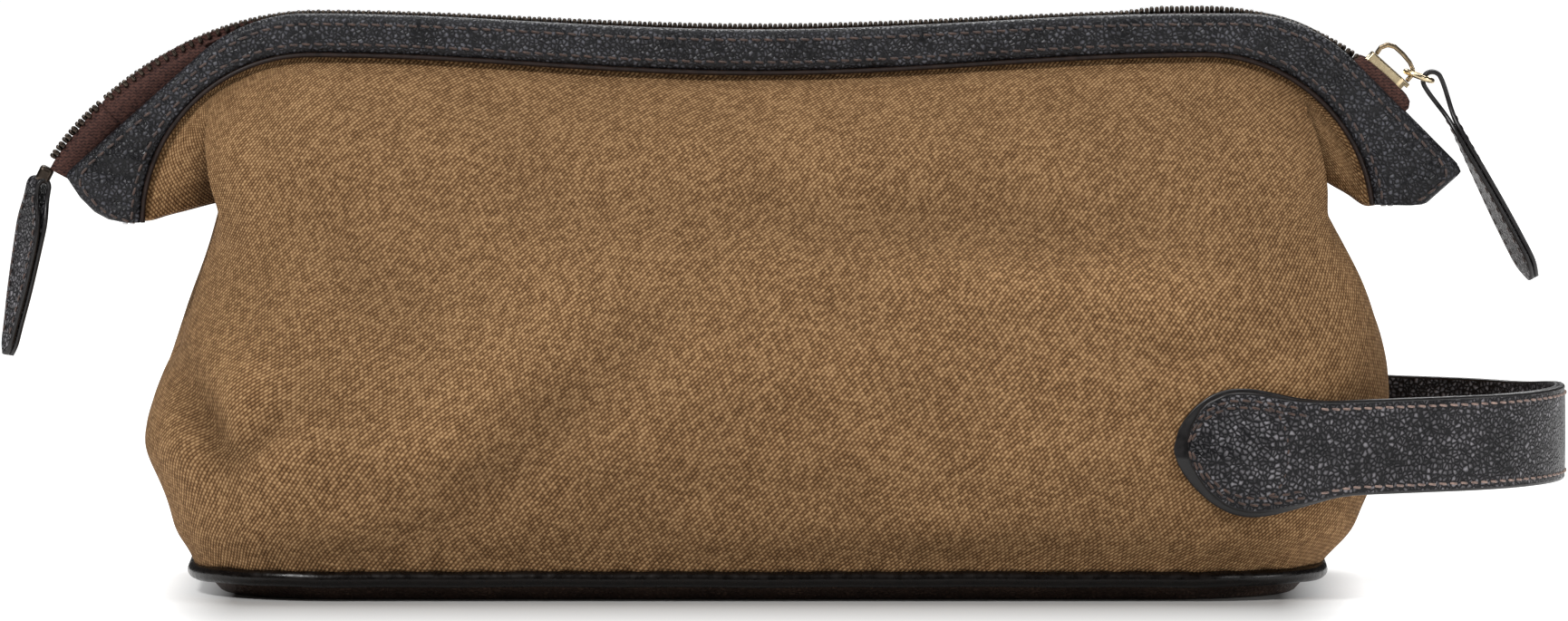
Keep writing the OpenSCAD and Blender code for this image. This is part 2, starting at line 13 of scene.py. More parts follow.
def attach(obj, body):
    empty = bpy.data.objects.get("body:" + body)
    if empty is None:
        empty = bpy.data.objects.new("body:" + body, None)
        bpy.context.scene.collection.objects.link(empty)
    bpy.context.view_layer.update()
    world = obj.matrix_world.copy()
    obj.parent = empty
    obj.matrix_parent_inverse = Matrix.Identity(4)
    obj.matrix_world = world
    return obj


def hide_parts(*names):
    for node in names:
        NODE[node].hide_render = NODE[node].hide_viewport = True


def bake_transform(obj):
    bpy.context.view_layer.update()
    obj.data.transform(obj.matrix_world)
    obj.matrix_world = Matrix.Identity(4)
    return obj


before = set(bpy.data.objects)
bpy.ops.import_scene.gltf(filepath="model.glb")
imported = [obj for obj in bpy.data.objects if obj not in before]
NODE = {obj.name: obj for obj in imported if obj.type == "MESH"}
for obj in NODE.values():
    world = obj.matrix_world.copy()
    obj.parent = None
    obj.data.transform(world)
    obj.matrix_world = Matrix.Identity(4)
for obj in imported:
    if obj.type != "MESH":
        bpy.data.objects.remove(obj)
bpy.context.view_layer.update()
MM = 0.001

# ---- Numbers shared with the CAD source -----------------------------------------------------

LEN_R = [[7, 123.6], [12, 129.4], [20, 133.8], [32, 138.6], [40, 139.4], [47, 139.0],
         [58, 136.2], [68, 132], [80, 127.2]]
LEN_L = [[7, 123.6], [12, 127.0], [20, 129.8], [32, 135.0], [42, 133.4], [58, 126.6],
         [68, 123.2], [80, 120.4]]
DEPTH = [[7, 54.2], [16, 58.5], [32, 61], [50, 58], [66, 51.5], [80, 43]]
CORNER = [[7, 30], [16, 34], [32, 38], [50, 38], [66, 36], [80, 33]]
F_END, F_ARC, F_LEG = 0.15, 0.43, 0.375
NECK_Z = 80.0
SHOULDER_X, SHOULDER_Z = 98.5, 80.0
SEAM_R, SEAM_Y = 37.5, 5.9
TOP_SAG = 4.0
TUCK_F = {1: 0.028, -1: 0.006}
CREASE = {1: (114.5, 95.0, 102.0), -1: (113.0, 85.6, 103.5)}
TWILL_T, LINING_T, LINING_GAP = 1.2, 0.6, 0.7
SIDES = ((1, "front"), (-1, "back"))


def mix(a, b, t):
    return a + (b - a) * t


def ease(t):
    t = np.clip(t, 0.0, 1.0)
    return t * t * (3 - 2 * t)


def table(t, z):
    t = np.array(t, float)
    return np.interp(z, t[:, 0], t[:, 1])


def spline(x, y, q):
    """Natural cubic spline through the rows of y at x, read at q."""
    x, y, q = np.asarray(x, float), np.asarray(y, float), np.asarray(q, float)
    k, h = len(x), np.diff(x)
    flat = y.reshape(k, -1)
    a = np.zeros((k, k))
    a[0, 0] = a[-1, -1] = 1
    rhs = np.zeros_like(flat)
    for i in range(1, k - 1):
        a[i, i - 1:i + 2] = h[i - 1], 2 * (h[i - 1] + h[i]), h[i]
        rhs[i] = 6 * ((flat[i + 1] - flat[i]) / h[i] - (flat[i] - flat[i - 1]) / h[i - 1])
    m = np.linalg.solve(a, rhs)
    i = np.clip(np.searchsorted(x, q) - 1, 0, k - 2)
    d = (q - x[i])[:, None]
    hi = h[i][:, None]
    slope = (flat[i + 1] - flat[i]) / hi - hi * (2 * m[i] + m[i + 1]) / 6
    out = flat[i] + d * (slope + d * (m[i] / 2 + d * (m[i + 1] - m[i]) / (6 * hi)))
    return out.reshape((len(q),) + y.shape[1:])


def run_along(points):
    """Length from the first point to each point of a polyline."""
    return np.concatenate([[0], np.cumsum(np.linalg.norm(np.diff(points, axis=0), axis=1))])


def resample(points, step):
    """Points every step along a polyline."""
    s = run_along(points)
    n = max(2, int(round(s[-1] / step)) + 1)
    at = np.linspace(0, s[-1], n)
    return np.stack([np.interp(at, s, points[:, i]) for i in range(points.shape[1])], 1)


def circle(n):
    """Angles of n points round a circle."""
    return np.linspace(0, 2 * pi, n, endpoint=False)


def unit(v):
    return v / np.maximum(np.linalg.norm(v, axis=-1, keepdims=True), 1e-12)


# ---- Materials ------------------------------------------------------------------------------


def srgb(r, g, b):
    """Linear colour from 0-255 screen values."""
    return tuple(((c / 255) / 12.92 if c / 255 < 0.04045 else ((c / 255 + 0.055) / 1.055) ** 2.4)
                 for c in (r, g, b)) + (1.0,)


TWILL_DARK, TWILL_MID, TWILL_LIGHT = srgb(68, 46, 26), srgb(137, 102, 68), srgb(198, 160, 116)
RIB_PITCH, FLECK_PITCH = 0.00114, 0.0014  # metres


class Mat:
    """A node material and short ways to add nodes to it."""

    def __init__(self, name, color, rough, **sockets):
        self.mat = bpy.data.materials.new(name)
        self.mat.use_nodes = True
        self.tree = self.mat.node_tree
        self.bsdf = self.tree.nodes["Principled BSDF"]
        self.bsdf.inputs["Base Color"].default_value = color
        self.bsdf.inputs["Roughness"].default_value = rough
        for key, value in sockets.items():
            self.bsdf.inputs[key.replace("_", " ")].default_value = value

    def node(self, kind, settings=None, **inputs):
        """Adds a node; inputs are named by socket, or i0, i1... by place."""
        n = self.tree.nodes.new(kind)
        for key, value in (settings or {}).items():
            setattr(n, key, value)
        for key, value in inputs.items():
            by_place = key[0] == "i" and key[1:].isdigit()
            socket = n.inputs[int(key[1:]) if by_place else key.replace("_", " ")]
            if isinstance(value, bpy.types.NodeSocket):
                self.tree.links.new(value, socket)
            else:
                socket.default_value = value
        return n

    def math(self, op, a, b=0.0, c=0.0):
        return self.node("ShaderNodeMath", {"operation": op}, i0=a, i1=b, i2=c).outputs[0]

    add = partialmethod(math, "ADD")
    less = partialmethod(math, "SUBTRACT")
    mul = partialmethod(math, "MULTIPLY")
    mul_add = partialmethod(math, "MULTIPLY_ADD")
    sine = partialmethod(math, "SINE")

    def coords(self, attribute=None, scale=(1, 1, 1)):
        if attribute:
            source = self.node("ShaderNodeAttribute", {"attribute_name": attribute}).outputs[1]
        else:
            source = self.node("ShaderNodeTexCoord").outputs["Object"]
        return self.node("ShaderNodeMapping", Vector=source, Scale=scale).outputs[0]

    def split(self, vector):
        return self.node("ShaderNodeSeparateXYZ", Vector=vector).outputs

    def noise(self, vector, scale, detail=3.0, rough=0.55):
        return self.node("ShaderNodeTexNoise", Vector=vector, Scale=scale, Detail=detail,
                         Roughness=rough).outputs[0]

    def cells(self, vector, scale, feature, output):
        return self.node("ShaderNodeTexVoronoi", {"feature": feature}, Vector=vector,
                         Scale=scale).outputs[output]

    def ply(self, vector, scale, distortion):
        """Diagonal bands of twisted yarn."""
        return self.node("ShaderNodeTexWave", {"bands_direction": "DIAGONAL"}, Vector=vector,
                         Scale=scale, Distortion=distortion, Detail=1.0).outputs[1]

    def remap(self, value, low, high, to_low, to_high):
        return self.node("ShaderNodeMapRange", Value=value, From_Min=low, From_Max=high,
                         To_Min=to_low, To_Max=to_high).outputs[0]

    def blend(self, factor, a, b):
        return self.node("ShaderNodeMix", {"data_type": "RGBA"}, i0=factor, i6=a,
                         i7=b).outputs[2]

    def tint(self, value, low, high, a, b):
        """Colour a up to low and b from high on."""
        return self.blend(self.remap(value, low, high, 0, 1), a, b)

    def set(self, bump, distance, strength, **sockets):
        """Links the given sockets and a bump, and gives the material."""
        sockets["Normal"] = self.node("ShaderNodeBump", Height=bump, Distance=distance,
                                      Strength=strength).outputs[0]
        for key, value in sockets.items():
            self.tree.links.new(value, self.bsdf.inputs[key.replace("_", " ")])
        return self.mat


def twill_material():
    """Ribs of short flecks on the cloth's own coordinates, with painted shade darkening it down in
    its folds and at the ear creases.
    """
    m = Mat("twill", srgb(130, 99, 68), 0.92, Specular_IOR_Level=0.12)
    uv = m.coords("weave")
    wave = m.mul(m.less(m.noise(uv, 90.0, 2.0), 0.5), 0.0012)
    along, up, depth = m.split(uv)
    x = m.add(along, wave)
    u = m.math("DIVIDE", m.less(x, up), RIB_PITCH)
    row = m.math("FLOOR", u)
    v = m.mul_add(row, 0.37, m.math("DIVIDE", m.add(x, up), FLECK_PITCH))
    cell = m.node("ShaderNodeCombineXYZ", i0=row, i1=m.math("FLOOR", v)).outputs[0]
    shade = m.node("ShaderNodeTexWhiteNoise", {"noise_dimensions": "2D"}, Vector=cell).outputs[0]
    lump_u, lump_v = (m.sine(m.mul(m.math("FRACT", q), pi)) for q in (u, v))
    lump = m.mul(lump_u, m.mul_add(lump_v, 0.65, 0.35))
    patch = m.less(m.noise(uv, 60.0, 3.0, 0.6), 0.5)
    tone = m.mul_add(patch, 0.12, m.mul_add(shade, 0.3, m.mul(lump, 0.62)))
    low = m.tint(tone, 0.05, 0.42, TWILL_DARK, TWILL_MID)
    base = m.tint(tone, 0.42, 0.86, low, TWILL_LIGHT)
    # Painted shade: the colour goes toward a darkened TWILL_DARK where the cloth lies pushed in,
    # in its dents and folds and at the marked ear creases.
    tone_and_painted_light = m.remap(depth, -0.007, 0.002, 0.72, 0.0)
    base = m.blend(tone_and_painted_light, base, tuple(0.45 * c for c in TWILL_DARK[:3]) + (1.0,))
    return m.set(m.mul_add(shade, 0.25, lump), 0.00026, 0.95, Base_Color=base)


def lining_material(name, attribute):
    m = Mat(name, srgb(120, 104, 84), 0.8)
    uv = m.coords(attribute)
    warp, weft = (m.sine(m.mul(q, 2 * pi / 0.0008)) for q in m.split(uv)[:2])
    weave = m.mul(warp, weft)
    tone = m.mul_add(weave, 0.15, m.noise(uv, 700.0, 2.0))
    base = m.tint(tone, 0.2, 0.8, srgb(92, 78, 62), srgb(142, 126, 104))
    return m.set(weave, 0.0001, 0.6, Base_Color=base)


def leather_material(name, dark, light, glint, rough, pebble=900.0, depth=0.0002, spec=0.5):
    """Grained leather: pebble tops carry painted highlights in the glint colour, brighter in some
    cells and in broad patches, with dark grooves between as painted shade.
    """
    m = Mat(name, dark, rough, Specular_IOR_Level=spec)
    at = m.coords()
    bent = m.node("ShaderNodeVectorMath", {"operation": "MULTIPLY_ADD"},
                  i0=m.noise(at, 420.0, 2.0), i1=(0.0007, 0.0007, 0.0007), i2=at).outputs[0]
    top = m.remap(m.cells(bent, pebble, "DISTANCE_TO_EDGE", "Distance"), 0.06, 0.38, 0, 1)
    each = m.cells(bent, pebble, "F1", "Color")
    # Broad random patches, which set the leather's tone and roughness and how bright its painted
    # highlights are.
    tone_and_painted_light = m.noise(at, 90.0, 4.0, 0.6)
    lit = m.mul(m.remap(each, 0.25, 0.75, 0.35, 1), m.remap(tone_and_painted_light, 0.38, 0.62, 0.5, 1.25))
    # Painted highlight: pebble tops take the glint colour; the dark grooves between stand as
    # painted shade.
    color = m.blend(m.mul(m.math("POWER", top, 1.3), lit),
                    m.tint(tone_and_painted_light, 0.35, 0.75, dark, light), glint)
    return m.set(m.mul_add(m.noise(at, 3800.0, 3.0), 0.15, top), depth, 0.9, Base_Color=color,
                 Roughness=m.remap(tone_and_painted_light, 0.3, 0.75, rough - 0.06, rough + 0.12))


def painted_material(name, color, light, rough, coat=0.15, spec=0.4):
    m = Mat(name, color, rough, Coat_Weight=coat, Coat_Roughness=0.25, Specular_IOR_Level=spec)
    at = m.coords()
    streak = m.noise(at, 500.0, 3.0)
    return m.set(m.noise(at, 900.0, 3.0), 0.00012, 0.5,
                 Base_Color=m.tint(streak, 0.35, 0.75, color, light),
                 Roughness=m.remap(streak, 0.3, 0.7, rough - 0.05, rough + 0.15))


def metal_material(name, color, dull, rough, scratch=0.5):
    m = Mat(name, color, rough, Metallic=1.0)
    patch = m.noise(m.coords(), 350.0, 4.0, 0.65)
    lines = m.noise(m.coords(scale=(1, 1, 0.08)), 2600.0, 2.0)
    return m.set(m.mul_add(lines, scratch, patch), 0.00005, 0.5,
                 Base_Color=m.tint(patch, 0.4, 0.75, color, dull),
                 Roughness=m.remap(patch, 0.3, 0.75, rough - 0.06, rough + 0.18))


def tape_material():
    """Herringbone tape."""
    m = Mat("zip_tape", srgb(66, 45, 41), 0.85, Specular_IOR_Level=0.2)
    at = m.coords()
    x, _, z = m.split(at)
    zigzag = m.math("ABSOLUTE", m.sine(m.mul(x, pi / 0.0011)))
    rib = m.sine(m.mul_add(zigzag, 2.4, m.mul(z, 2 * pi / 0.0007)))
    tone = m.mul_add(rib, 0.13, m.noise(at, 1600.0, 2.0))
    base = m.tint(tone, 0.25, 0.8, srgb(36, 23, 23), srgb(92, 62, 54))
    return m.set(tone, 0.00015, 0.7, Base_Color=base)


def thread_material(name, dark, light):
    m = Mat(name, dark, 0.55, Sheen_Weight=0.2)
    at = m.coords()
    return m.set(m.ply(at, 520.0, 1.5), 0.0001, 0.6,
                 Base_Color=m.tint(m.noise(at, 800.0, 2.0), 0.3, 0.7, dark, light))


def cord_material():
    m = Mat("cotton_cord", srgb(206, 196, 176), 0.9, Sheen_Weight=0.3)
    ply = m.ply(m.coords(), 160.0, 0.6)
    base = m.tint(ply, 0.2, 0.8, srgb(168, 156, 132), srgb(222, 214, 196))
    return m.set(ply, 0.0003, 0.8, Base_Color=base)


def board_material():
    m = Mat("fibre_board", srgb(150, 130, 100), 0.85)
    fibre = m.noise(m.coords(scale=(0.3, 1, 1)), 900.0, 4.0, 0.7)
    return m.set(m.noise(m.coords(), 1400.0, 3.0), 0.0002, 0.6,
                 Base_Color=m.tint(fibre, 0.3, 0.7, srgb(120, 100, 74), srgb(176, 156, 124)))


M_TWILL = twill_material()
M_LINING = lining_material("lining", "weave")
M_LINING_FLAT = lining_material("lining_floor", None)
# The glint colours below are painted highlights on the pebble tops.
M_LEATHER = leather_material("leather", (0.004, 0.004, 0.005, 1), (0.012, 0.012, 0.014, 1),
                             (0.110, 0.110, 0.128, 1), 0.38, 1060.0, 0.0002, 0.26)
M_STRAP = leather_material("strap_leather", (0.004, 0.004, 0.005, 1), (0.010, 0.0095, 0.011, 1),
                           (0.265, 0.253, 0.273, 1), 0.33, 940.0, 0.00026, 0.2)
M_BASE = leather_material("base_leather", srgb(52, 38, 31), srgb(76, 56, 45),
                          srgb(100, 78, 64), 0.6)
M_EDGE = painted_material("leather_edge", srgb(15, 13, 14), srgb(30, 27, 28), 0.34)
M_BROWN_EDGE = painted_material("trim_edge", srgb(26, 18, 16), srgb(46, 33, 28), 0.5, 0.05, 0.25)
M_PIPING = painted_material("piping", srgb(8, 5, 4), srgb(18, 12, 9), 0.24, 0.05, 0.25)
M_BRASS = metal_material("brass", (0.80, 0.66, 0.42, 1), (0.50, 0.38, 0.22, 1), 0.22)
M_BRASS_DARK = metal_material("brass_dark", (0.42, 0.32, 0.20, 1), (0.16, 0.12, 0.08, 1), 0.24)
M_TEETH = metal_material("zip_teeth", (0.085, 0.066, 0.052, 1), (0.035, 0.028, 0.024, 1), 0.33)
M_STEEL = metal_material("steel", (0.60, 0.60, 0.62, 1), (0.38, 0.38, 0.40, 1), 0.3)
M_TAPE = tape_material()
M_THREAD = thread_material("thread_tan", srgb(104, 84, 78), srgb(168, 142, 130))
M_THREAD_DARK = thread_material("thread_brown", srgb(50, 37, 33), srgb(82, 62, 54))
M_THREAD_END = thread_material("thread_umber", srgb(46, 32, 27), srgb(86, 61, 49))
M_CORD = cord_material()
M_BOARD = board_material()

# ---- Mesh making ----------------------------------------------------------------------------


def show(name, mesh):
    obj = bpy.data.objects.new(name, mesh)
    bpy.context.scene.collection.objects.link(obj)
    return obj


def make(name, shape, mats, index=None, weave=None, turn_out=True):
    """A smooth mesh object from points in millimetres. index gives each face's material."""
    verts, faces = shape
    mesh = bpy.data.meshes.new(name)
    mesh.from_pydata((np.asarray(verts, float) * MM).tolist(), [],
                     [list(map(int, f)) for f in faces])
    for m in mats:
        mesh.materials.append(m)
    if index is not None:
        mesh.polygons.foreach_set("material_index", np.asarray(index, np.int32))
    mesh.polygons.foreach_set("use_smooth", np.ones(len(mesh.polygons), bool))
    if weave is not None:
        at = mesh.attributes.new("weave", "FLOAT_VECTOR", "POINT")
        at.data.foreach_set("vector", (np.asarray(weave, float) * MM).astype(np.float32).ravel())
    mesh.update()
    if turn_out:
        bm = bmesh.new()
        bm.from_mesh(mesh)
        bmesh.ops.recalc_face_normals(bm, faces=bm.faces)
        bm.to_mesh(mesh)
        bm.free()
    return show(name, mesh)


def sew(name, parts, mat):
    """Stitches as one object."""
    return make(name, join_parts(parts), [mat], turn_out=False)


def rider(obj, body, slot, *nodes):
    """Rides obj on a body instead of the CAD nodes that it stands for; slot is not used."""
    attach(obj, body)
    if nodes:
        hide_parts(*nodes)


def grid_faces(n, m, close_n=False, close_m=False):
    i = np.arange(n if close_n else n - 1)
    j = np.arange(m if close_m else m - 1)
    a, b = np.meshgrid(i, j, indexing="ij")
    a2, b2 = (a + 1) % n, (b + 1) % m
    return np.stack([a * m + b, a2 * m + b, a2 * m + b2, a * m + b2], -1).reshape(-1, 4)


def tube(rings, closed=False):
    """Verts and faces of a tube through rings (n, m, 3)."""
    rings = np.asarray(rings)
    n, m = rings.shape[:2]
    faces = grid_faces(n, m, closed, True).tolist()
    if not closed:
        faces.append(list(range(m))[::-1])
        faces.append([(n - 1) * m + j for j in range(m)])
    return rings.reshape(-1, 3), faces


def join_parts(parts):
    """One list of verts and faces from several."""
    verts, faces, base = [], [], 0
    for v, f in parts:
        verts.append(np.asarray(v))
        faces += [[i + base for i in face] for face in f]
        base += len(v)
    return np.concatenate(verts), faces


def finish_cad(name, mat, bevel=0.0, segments=3):
    """Gives a CAD node its material and, with modifiers, softened edges."""
    o = NODE[name]
    o.data.materials.clear()
    o.data.materials.append(mat)
    if bevel:
        weld = o.modifiers.new("weld", "WELD")
        weld.merge_threshold = 1e-6
        b = o.modifiers.new("bevel", "BEVEL")
        b.width = bevel * MM
        b.segments = segments
        b.limit_method = "ANGLE"
        b.angle_limit = radians(35)


# ---- Soft body: twill and lining ------------------------------------------------------------

Z_RINGS = [6.3, 9, 12.5, 18, 25, 32, 40, 48, 56, 64, 72]
T_RINGS = [0.12, 0.24, 0.35, 0.45, 0.55, 0.67, 0.80, 0.91, 1.0]
TOP_RUN, SEAM_TOP = 42.0, 124.6
WALL_SHARE, EAR_SHARE = 0.55, 0.42  # of the rows in the wall; of the top below the ears


def groove(y, z):
    return 9 * np.exp(-(y / 9) ** 2) * ease((z - 45) / 35)


def wall_q(f, z, d, lens):
    L, D, r = table(lens, z) - d, table(DEPTH, z) - d, table(CORNER, z) - d
    a = np.radians(90 * np.clip((f - F_END) / (F_ARC - F_END), 0, 1))
    x = np.where(f < F_END, L, np.where(f < F_ARC, L - r + r * np.cos(a),
                                        (L - r) * (1 - f) / (1 - F_ARC)))
    y = np.where(f < F_END, -(D - r) * f / F_END,
                 np.where(f < F_ARC, -(D - r) - r * np.sin(a), -D))
    return np.stack([x - groove(y, z), np.minimum(y, 0.0), np.full_like(f, z)], -1)


def arch_top(x, r):
    return SHOULDER_Z + r - TOP_SAG * (1 + np.cos(pi * x / SHOULDER_X)) / 2


def seam_q(f, r, y, f0):
    g = np.maximum(f, f0)
    a = np.radians(90 * np.minimum(g, F_LEG) / F_LEG)
    x2 = SHOULDER_X * (1 - g) / (1 - F_LEG)
    x = np.where(g < F_LEG, SHOULDER_X + r * np.cos(a), x2)
    z = np.where(g < F_LEG, SHOULDER_Z + r * np.sin(a), arch_top(x2, r))
    turn = np.sin(pi / 2 * np.minimum(1, f / f0))
    return np.stack([x, -y * turn, z - 1.0 * (1 - turn)], -1)


def top_q(f, k, d, lens, end):
    """Point on the folding top; k from 0 at the neck to 1 where it meets the trim."""
    n = wall_q(f, NECK_Z, d, lens)
    s = seam_q(f, SEAM_R - 1.6, SEAM_Y + 0.2 - d, TUCK_F[end])
    swell = 3 * sin(pi * k) * ease((f - 0.2) / 0.2)
    p = mix(n, s, k)
    p[:, 0] += 2.7 * sin(pi * k ** 0.9) * np.exp(-((f - 0.24) / 0.12) ** 2)
    p[:, 1] -= swell
    p[:, 2] += swell
    x, z0, z1 = CREASE[end]
    deep = np.stack([np.full_like(f, x - d), -(4.5 - d) * np.minimum(1, f / 0.06),
                     mix(z0, z1, np.minimum(1, f / 0.24))], -1)
    tuck = mix(n, deep, k / 0.45) if k < 0.45 else mix(deep, s, (k - 0.45) / 0.55)
    tuck[:, 1] -= 3.6 * sin(pi * max(0.0, k - 0.45) / 0.55) * np.minimum(1, f / 0.05)
    tuck[:, 2] += 1.3 * d * ease((k - 0.25) / 0.3) * (1 - ease((f - 0.02) / 0.08))
    return mix(p, tuck, ease((0.23 - f) / 0.04)[:, None])


# Dents (negative) and swells of the filled twill: x, z, half widths along and across, turn
# in degrees, and amount, by side.
SPOTS = {
    1: [(-121, 38, 13, 4.5, -63, -2.6), (-109, 35.5, 9, 3.6, 40, -1.7), (-113, 46, 6, 8, 0, 0.8),
        (-103, 27, 10, 8, 20, 0.6), (-45, 38, 38, 7, 44, -1.5), (-60, 46, 30, 7, 44, 0.7),
        (20, 84, 75, 8, -2, -1.1), (70, 69, 45, 6, -3, 1.1), (90, 54.5, 10, 3.6, 0, -0.9),
        (60, 25, 40, 12, 12, 0.5), (-85, 70, 22, 9, -30, -0.8), (112, 62, 12, 12, 60, -0.8),
        (5, 52, 40, 9, 8, 0.5)],
    -1: [(108, 44, 10, 12, -12, -1.6), (40, 40, 36, 8, -40, -1.3), (-15, 83, 70, 8, 2, -1.0),
         (-60, 68, 40, 6, 4, 0.9), (-70, 30, 35, 12, -10, 0.5), (75, 72, 20, 9, 25, -0.7)]}


def bumps(p, side):
    """Soft dents and folds of the twill, outward in millimetres. side 1 is the front."""
    x, z = p[..., 0], p[..., 2]
    d = 0
    for x0, z0, along, over, turn, amount in SPOTS[side]:
        c, s = cos(radians(turn)), sin(radians(turn))
        a, b = (x - x0) * c + (z - z0) * s, -(x - x0) * s + (z - z0) * c
        d = d + amount * np.exp(-(a / along) ** 2 - (b / over) ** 2)
    ripple = (0.22 * np.sin(x / 7.3 + 1.1 + side) * np.sin(z / 9.1 + 0.4)
              + 0.16 * np.sin(x / 4.1 + z / 6.3 + 2.0 * side)
              + 0.35 * np.sin(x / 23.0 - z / 17.0 + 0.7 * side))
    pucker = 0.22 * np.sin(x * 2 * pi / 9.5 + 0.9 * np.sin(x / 13)) * np.exp(-(z - 7) / 4.5)
    return (1.6 * d + 1.3 * ripple) * ease((z - 8) / 10) * (1 - ease((z - 108) / 8)) + pucker


def soft_half(side, d, n_f=150, n_v=130):
    """Outer surface of one half, (rows up, columns from the right end to the left one)."""
    c = np.linspace(0, 1, n_f)
    f = mix(c, c ** 1.7, 0.75)
    n_wall = int(n_v * WALL_SHARE)
    at = np.concatenate([np.linspace(Z_RINGS[0], NECK_Z, n_wall)[:-1],
                         np.linspace(NECK_Z, SEAM_TOP, n_v - n_wall + 1)])
    knots = Z_RINGS + [NECK_Z + TOP_RUN * t for t in T_RINGS] + [SEAM_TOP]
    quarters = []
    for end, lens in ((1, LEN_R), (-1, LEN_L)):
        rings = [wall_q(f, z, d, lens) for z in Z_RINGS]
        rings += [top_q(f, k, d, lens, end) for k in T_RINGS]
        rings.append(seam_q(f, SEAM_R + 0.9, SEAM_Y - d, TUCK_F[end]))
        quarters.append(spline(knots, rings, at) * np.array([end, side, 1]))
    right, left = quarters
    g = np.concatenate([right, left[:, -2::-1]], 1)
    du, dv = np.gradient(g, axis=1), np.gradient(g, axis=0)
    normal = unit(np.cross(du, dv))
    middle = normal[g.shape[0] // 4, g.shape[1] // 2]
    if middle[1] * side > 0:
        normal = -normal
    at_end = np.exp(-(g[..., 1] / 1.6) ** 2) * (1 - ease((g[..., 2] - 74) / 6))
    push = bumps(g, side) * np.clip(np.abs(g[..., 1]) / 12, 0, 1) - 0.9 * at_end
    g = g + normal * push[..., None]
    k = (at - NECK_Z) / TOP_RUN
    both = np.concatenate([f, f[-2::-1]])
    # Painted shade mark by the ear creases: it does not move the cloth, it only darkens the
    # twill's colour there.
    fold = np.exp(-((k - 0.6) / 0.13) ** 2)[:, None] * ease((0.225 - both) / 0.03)[None]
    return g, normal, push - 11.0 * fold


def weave_of(g, side, push):
    """Arc length and height on the cloth, which the weave is drawn on, and the depth of its soft
    folds together with the crease marks, which the twill paints as shade.
    """
    s, h = run_along(g[len(g) // 4]), run_along(g[:, g.shape[1] // 2])
    s = -side * (s - s[len(s) // 2])
    return np.stack([*np.meshgrid(s, h), push], -1)


EAR_X = {1: 127.0, -1: 122.5}


def soft_sheet(name, side, d, thick, mat, nodes):
    """One half of a soft body: a wall that runs on into the folding top, with its two ears."""
    g, normal, push = soft_half(side, d)
    n, m = g.shape[:2]
    k = n * m
    faces = grid_faces(n, m)
    at = np.arange(k).reshape(n, m)
    rim = np.concatenate([at[0], at[1:, -1], at[-1, -2::-1], at[-2:0:-1, 0]])
    after = np.roll(rim, -1)
    faces = np.concatenate([faces, faces[:, ::-1] + k,
                            np.stack([rim, after, after + k, rim + k], -1)])
    verts = np.concatenate([g, g - normal * thick]).reshape(-1, 3)
    weave = weave_of(g, side, push)
    obj = make(name, (verts, faces), [mat], weave=np.tile(weave.reshape(-1, 3), (2, 1)))

    ear_row = int(n * WALL_SHARE) + int(n * 0.45 * EAR_SHARE)
    above = set(range(ear_row * m, k)) | set(range(k + ear_row * m, 2 * k))
    whole = bmesh.new()
    whole.from_mesh(obj.data)
    for end in (1, -1):
        near = [f for f in whole.faces if all(v.index in above or v.index < 0 for v in f.verts)
                and f.calc_center_median().x * end > 0.1]
        geom = set(near)
        for f in near:
            geom.update(f.edges, f.verts)
        bmesh.ops.bisect_plane(whole, geom=list(geom), plane_co=(end * EAR_X[end] * MM, 0, 0),
                               plane_no=(1, 0, 0), dist=1e-6)
    whole.faces.ensure_lookup_table()
    layer = whole.verts.layers.float_vector["weave"]
    h_cut = weave[ear_row, 0, 1] * MM
    ears = {end: [f for f in whole.faces
                  if all(v.co.x * end > EAR_X[end] * MM - 2e-6 and v[layer][1] > h_cut - 1e-7
                         for v in f.verts)] for end in (1, -1)}
    for end in (1, -1):
        part = whole.copy()
        part.faces.ensure_lookup_table()
        keep = {f.index for f in ears[end]}
        bmesh.ops.delete(part, geom=[f for f in part.faces if f.index not in keep],
                         context="FACES")
        mesh = bpy.data.meshes.new(f"{name}_ear_{'right' if end > 0 else 'left'}")
        part.to_mesh(mesh)
        part.free()
        mesh.materials.append(mat)
        ear = show(mesh.name, mesh)
        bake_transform(ear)
    bmesh.ops.delete(whole, geom=ears[1] + ears[-1], context="FACES")
    whole.to_mesh(obj.data)
    whole.free()
    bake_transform(obj)
    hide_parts(*nodes)


for side, word in SIDES:
    soft_sheet(f"twill_{word}", side, 0.0, TWILL_T, M_TWILL,
               [f"canvas_{word}", f"canvas_top_{word}"])
    soft_sheet(f"lining_{word}_cloth", side, TWILL_T + LINING_GAP, LINING_T, M_LINING,
               [f"lining_{word}", f"lining_top_{word}"])

# ---- Base -----------------------------------------------------------------------------------


def rounded_rect(hx, hy, r, n, straight):
    """Closed outline, counter-clockwise."""
    pts = []
    x, y = hx - r, hy - r
    for cx, cy, a0, end in ((x, y, 0, (-x, hy)), (-x, y, 90, (-hx, -y)),
                            (-x, -y, 180, (x, -hy)), (x, -y, 270, (hx, y))):
        for i in range(n + 1):
            a = radians(a0 + 90 * i / n)
            pts.append([cx + r * cos(a), cy + r * sin(a)])
        last = np.array(pts[-1])
        pts += [mix(last, np.array(end), i / straight) for i in range(1, straight)]
    return np.array(pts)


outline = rounded_rect(123.4, 54.0, 30, 28, 60)
tangent = unit(np.roll(outline, -1, 0) - np.roll(outline, 1, 0))
out_n = np.stack([tangent[:, 1], -tangent[:, 0]], -1)
s = np.arange(len(outline))
wave = 0.06 * np.sin(s * 0.61) + 0.05 * np.sin(s * 0.23 + 1.0)
angle = circle(20)
rings = np.stack([np.c_[outline + out_n * 1.8 * cos(q), 4.9 + 1.8 * sin(q) + wave]
                  for q in angle], 1)
rider(make("piping", tube(rings, closed=True), [M_PIPING]), "bag", "piping", "base_piping")

